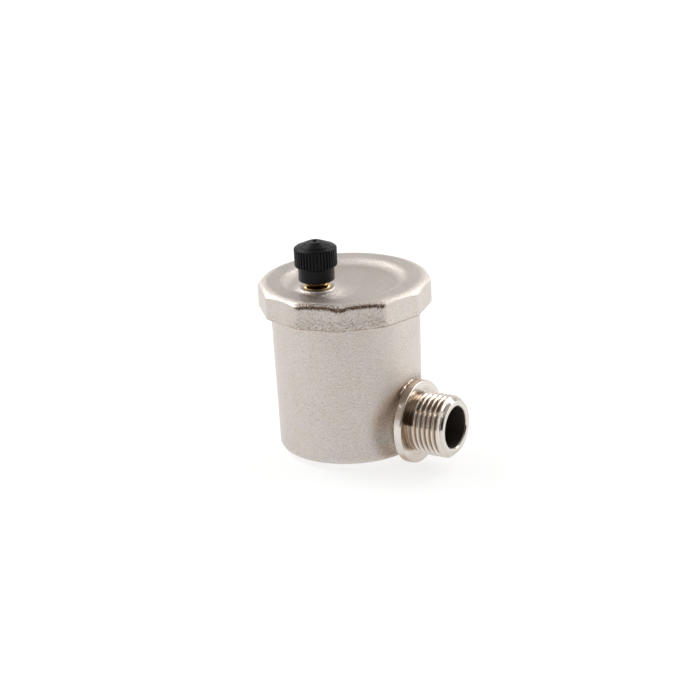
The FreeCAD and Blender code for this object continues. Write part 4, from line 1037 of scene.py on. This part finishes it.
class VENT_OT_cover(bpy.types.Operator):
    """Make the twelve-sided cover with its dish and boss"""
    bl_idname = "vent.make_cover"
    bl_label = "Twelve-sided cover"

    def execute(self, context):
        make_cover(finish_of("cover"), context.scene.vent_sizes)
        return {"FINISHED"}


class VENT_OT_nozzle(bpy.types.Operator):
    """Make the brass nozzle with its collar and thread"""
    bl_idname = "vent.make_nozzle"
    bl_label = "Vent nozzle"

    def execute(self, context):
        make_nozzle(finish_of("nozzle"), context.scene.vent_sizes)
        return {"FINISHED"}


class VENT_OT_cap(bpy.types.Operator):
    """Make the knurled vent cap"""
    bl_idname = "vent.make_cap"
    bl_label = "Vent cap"

    def execute(self, context):
        make_cap(finish_of("vent_cap"), context.scene.vent_sizes)
        return {"FINISHED"}


class VENT_OT_inside(bpy.types.Operator):
    """Finish the float, the lever and the other parts inside the chamber"""
    bl_idname = "vent.finish_inside"
    bl_label = "Parts inside"

    def execute(self, context):
        for name, node in frame["nodes"].items():
            for slot in node.material_slots:
                slot.link = "OBJECT"
                slot.material = finish_of(name)
        return {"FINISHED"}


class VENT_OT_studio(bpy.types.Operator):
    """Set the camera, the pale floor and the soft light"""
    bl_idname = "vent.set_studio"
    bl_label = "Studio"

    def execute(self, context):
        studio = context.scene.vent_studio
        context.scene.view_settings.view_transform = "Standard"
        place_camera(studio)
        place_floor()
        light_studio(studio)
        return {"FINISHED"}


class VENT_PT_panel(bpy.types.Panel):
    """Lists the vent's pieces, sizes and finishes"""
    bl_idname = "VENT_PT_panel"
    bl_label = "Air vent"
    bl_space_type = "VIEW_3D"
    bl_region_type = "UI"
    bl_category = "Air Vent"

    def draw(self, context):
        for step in STEPS:
            self.layout.operator(step.bl_idname)
        for group in (context.scene.vent_sizes, context.scene.vent_finishes, context.scene.vent_studio):
            box = self.layout.box()
            for name in group.__annotations__:
                box.prop(group, name)


STEPS = (VENT_OT_cup, VENT_OT_inlet, VENT_OT_cover, VENT_OT_nozzle, VENT_OT_cap, VENT_OT_inside,
         VENT_OT_studio)
CLASSES = (VentSizes, VentFinishes, VentStudio, *STEPS, VENT_PT_panel)


def register():
    for cls in CLASSES:
        bpy.utils.register_class(cls)
    bpy.types.Scene.vent_sizes = PointerProperty(type=VentSizes)
    bpy.types.Scene.vent_finishes = PointerProperty(type=VentFinishes)
    bpy.types.Scene.vent_studio = PointerProperty(type=VentStudio)


def unregister():
    del bpy.types.Scene.vent_studio, bpy.types.Scene.vent_finishes, bpy.types.Scene.vent_sizes
    for cls in reversed(CLASSES):
        bpy.utils.unregister_class(cls)


def main():
    register()
    bpy.ops.vent.make_cup()
    bpy.ops.vent.make_inlet()
    bpy.ops.vent.make_cover()
    bpy.ops.vent.make_nozzle()
    bpy.ops.vent.make_cap()
    bpy.ops.vent.finish_inside()
    bpy.ops.vent.set_studio()
    bpy.context.view_layer.update()


if __name__ == "__main__":
    main()
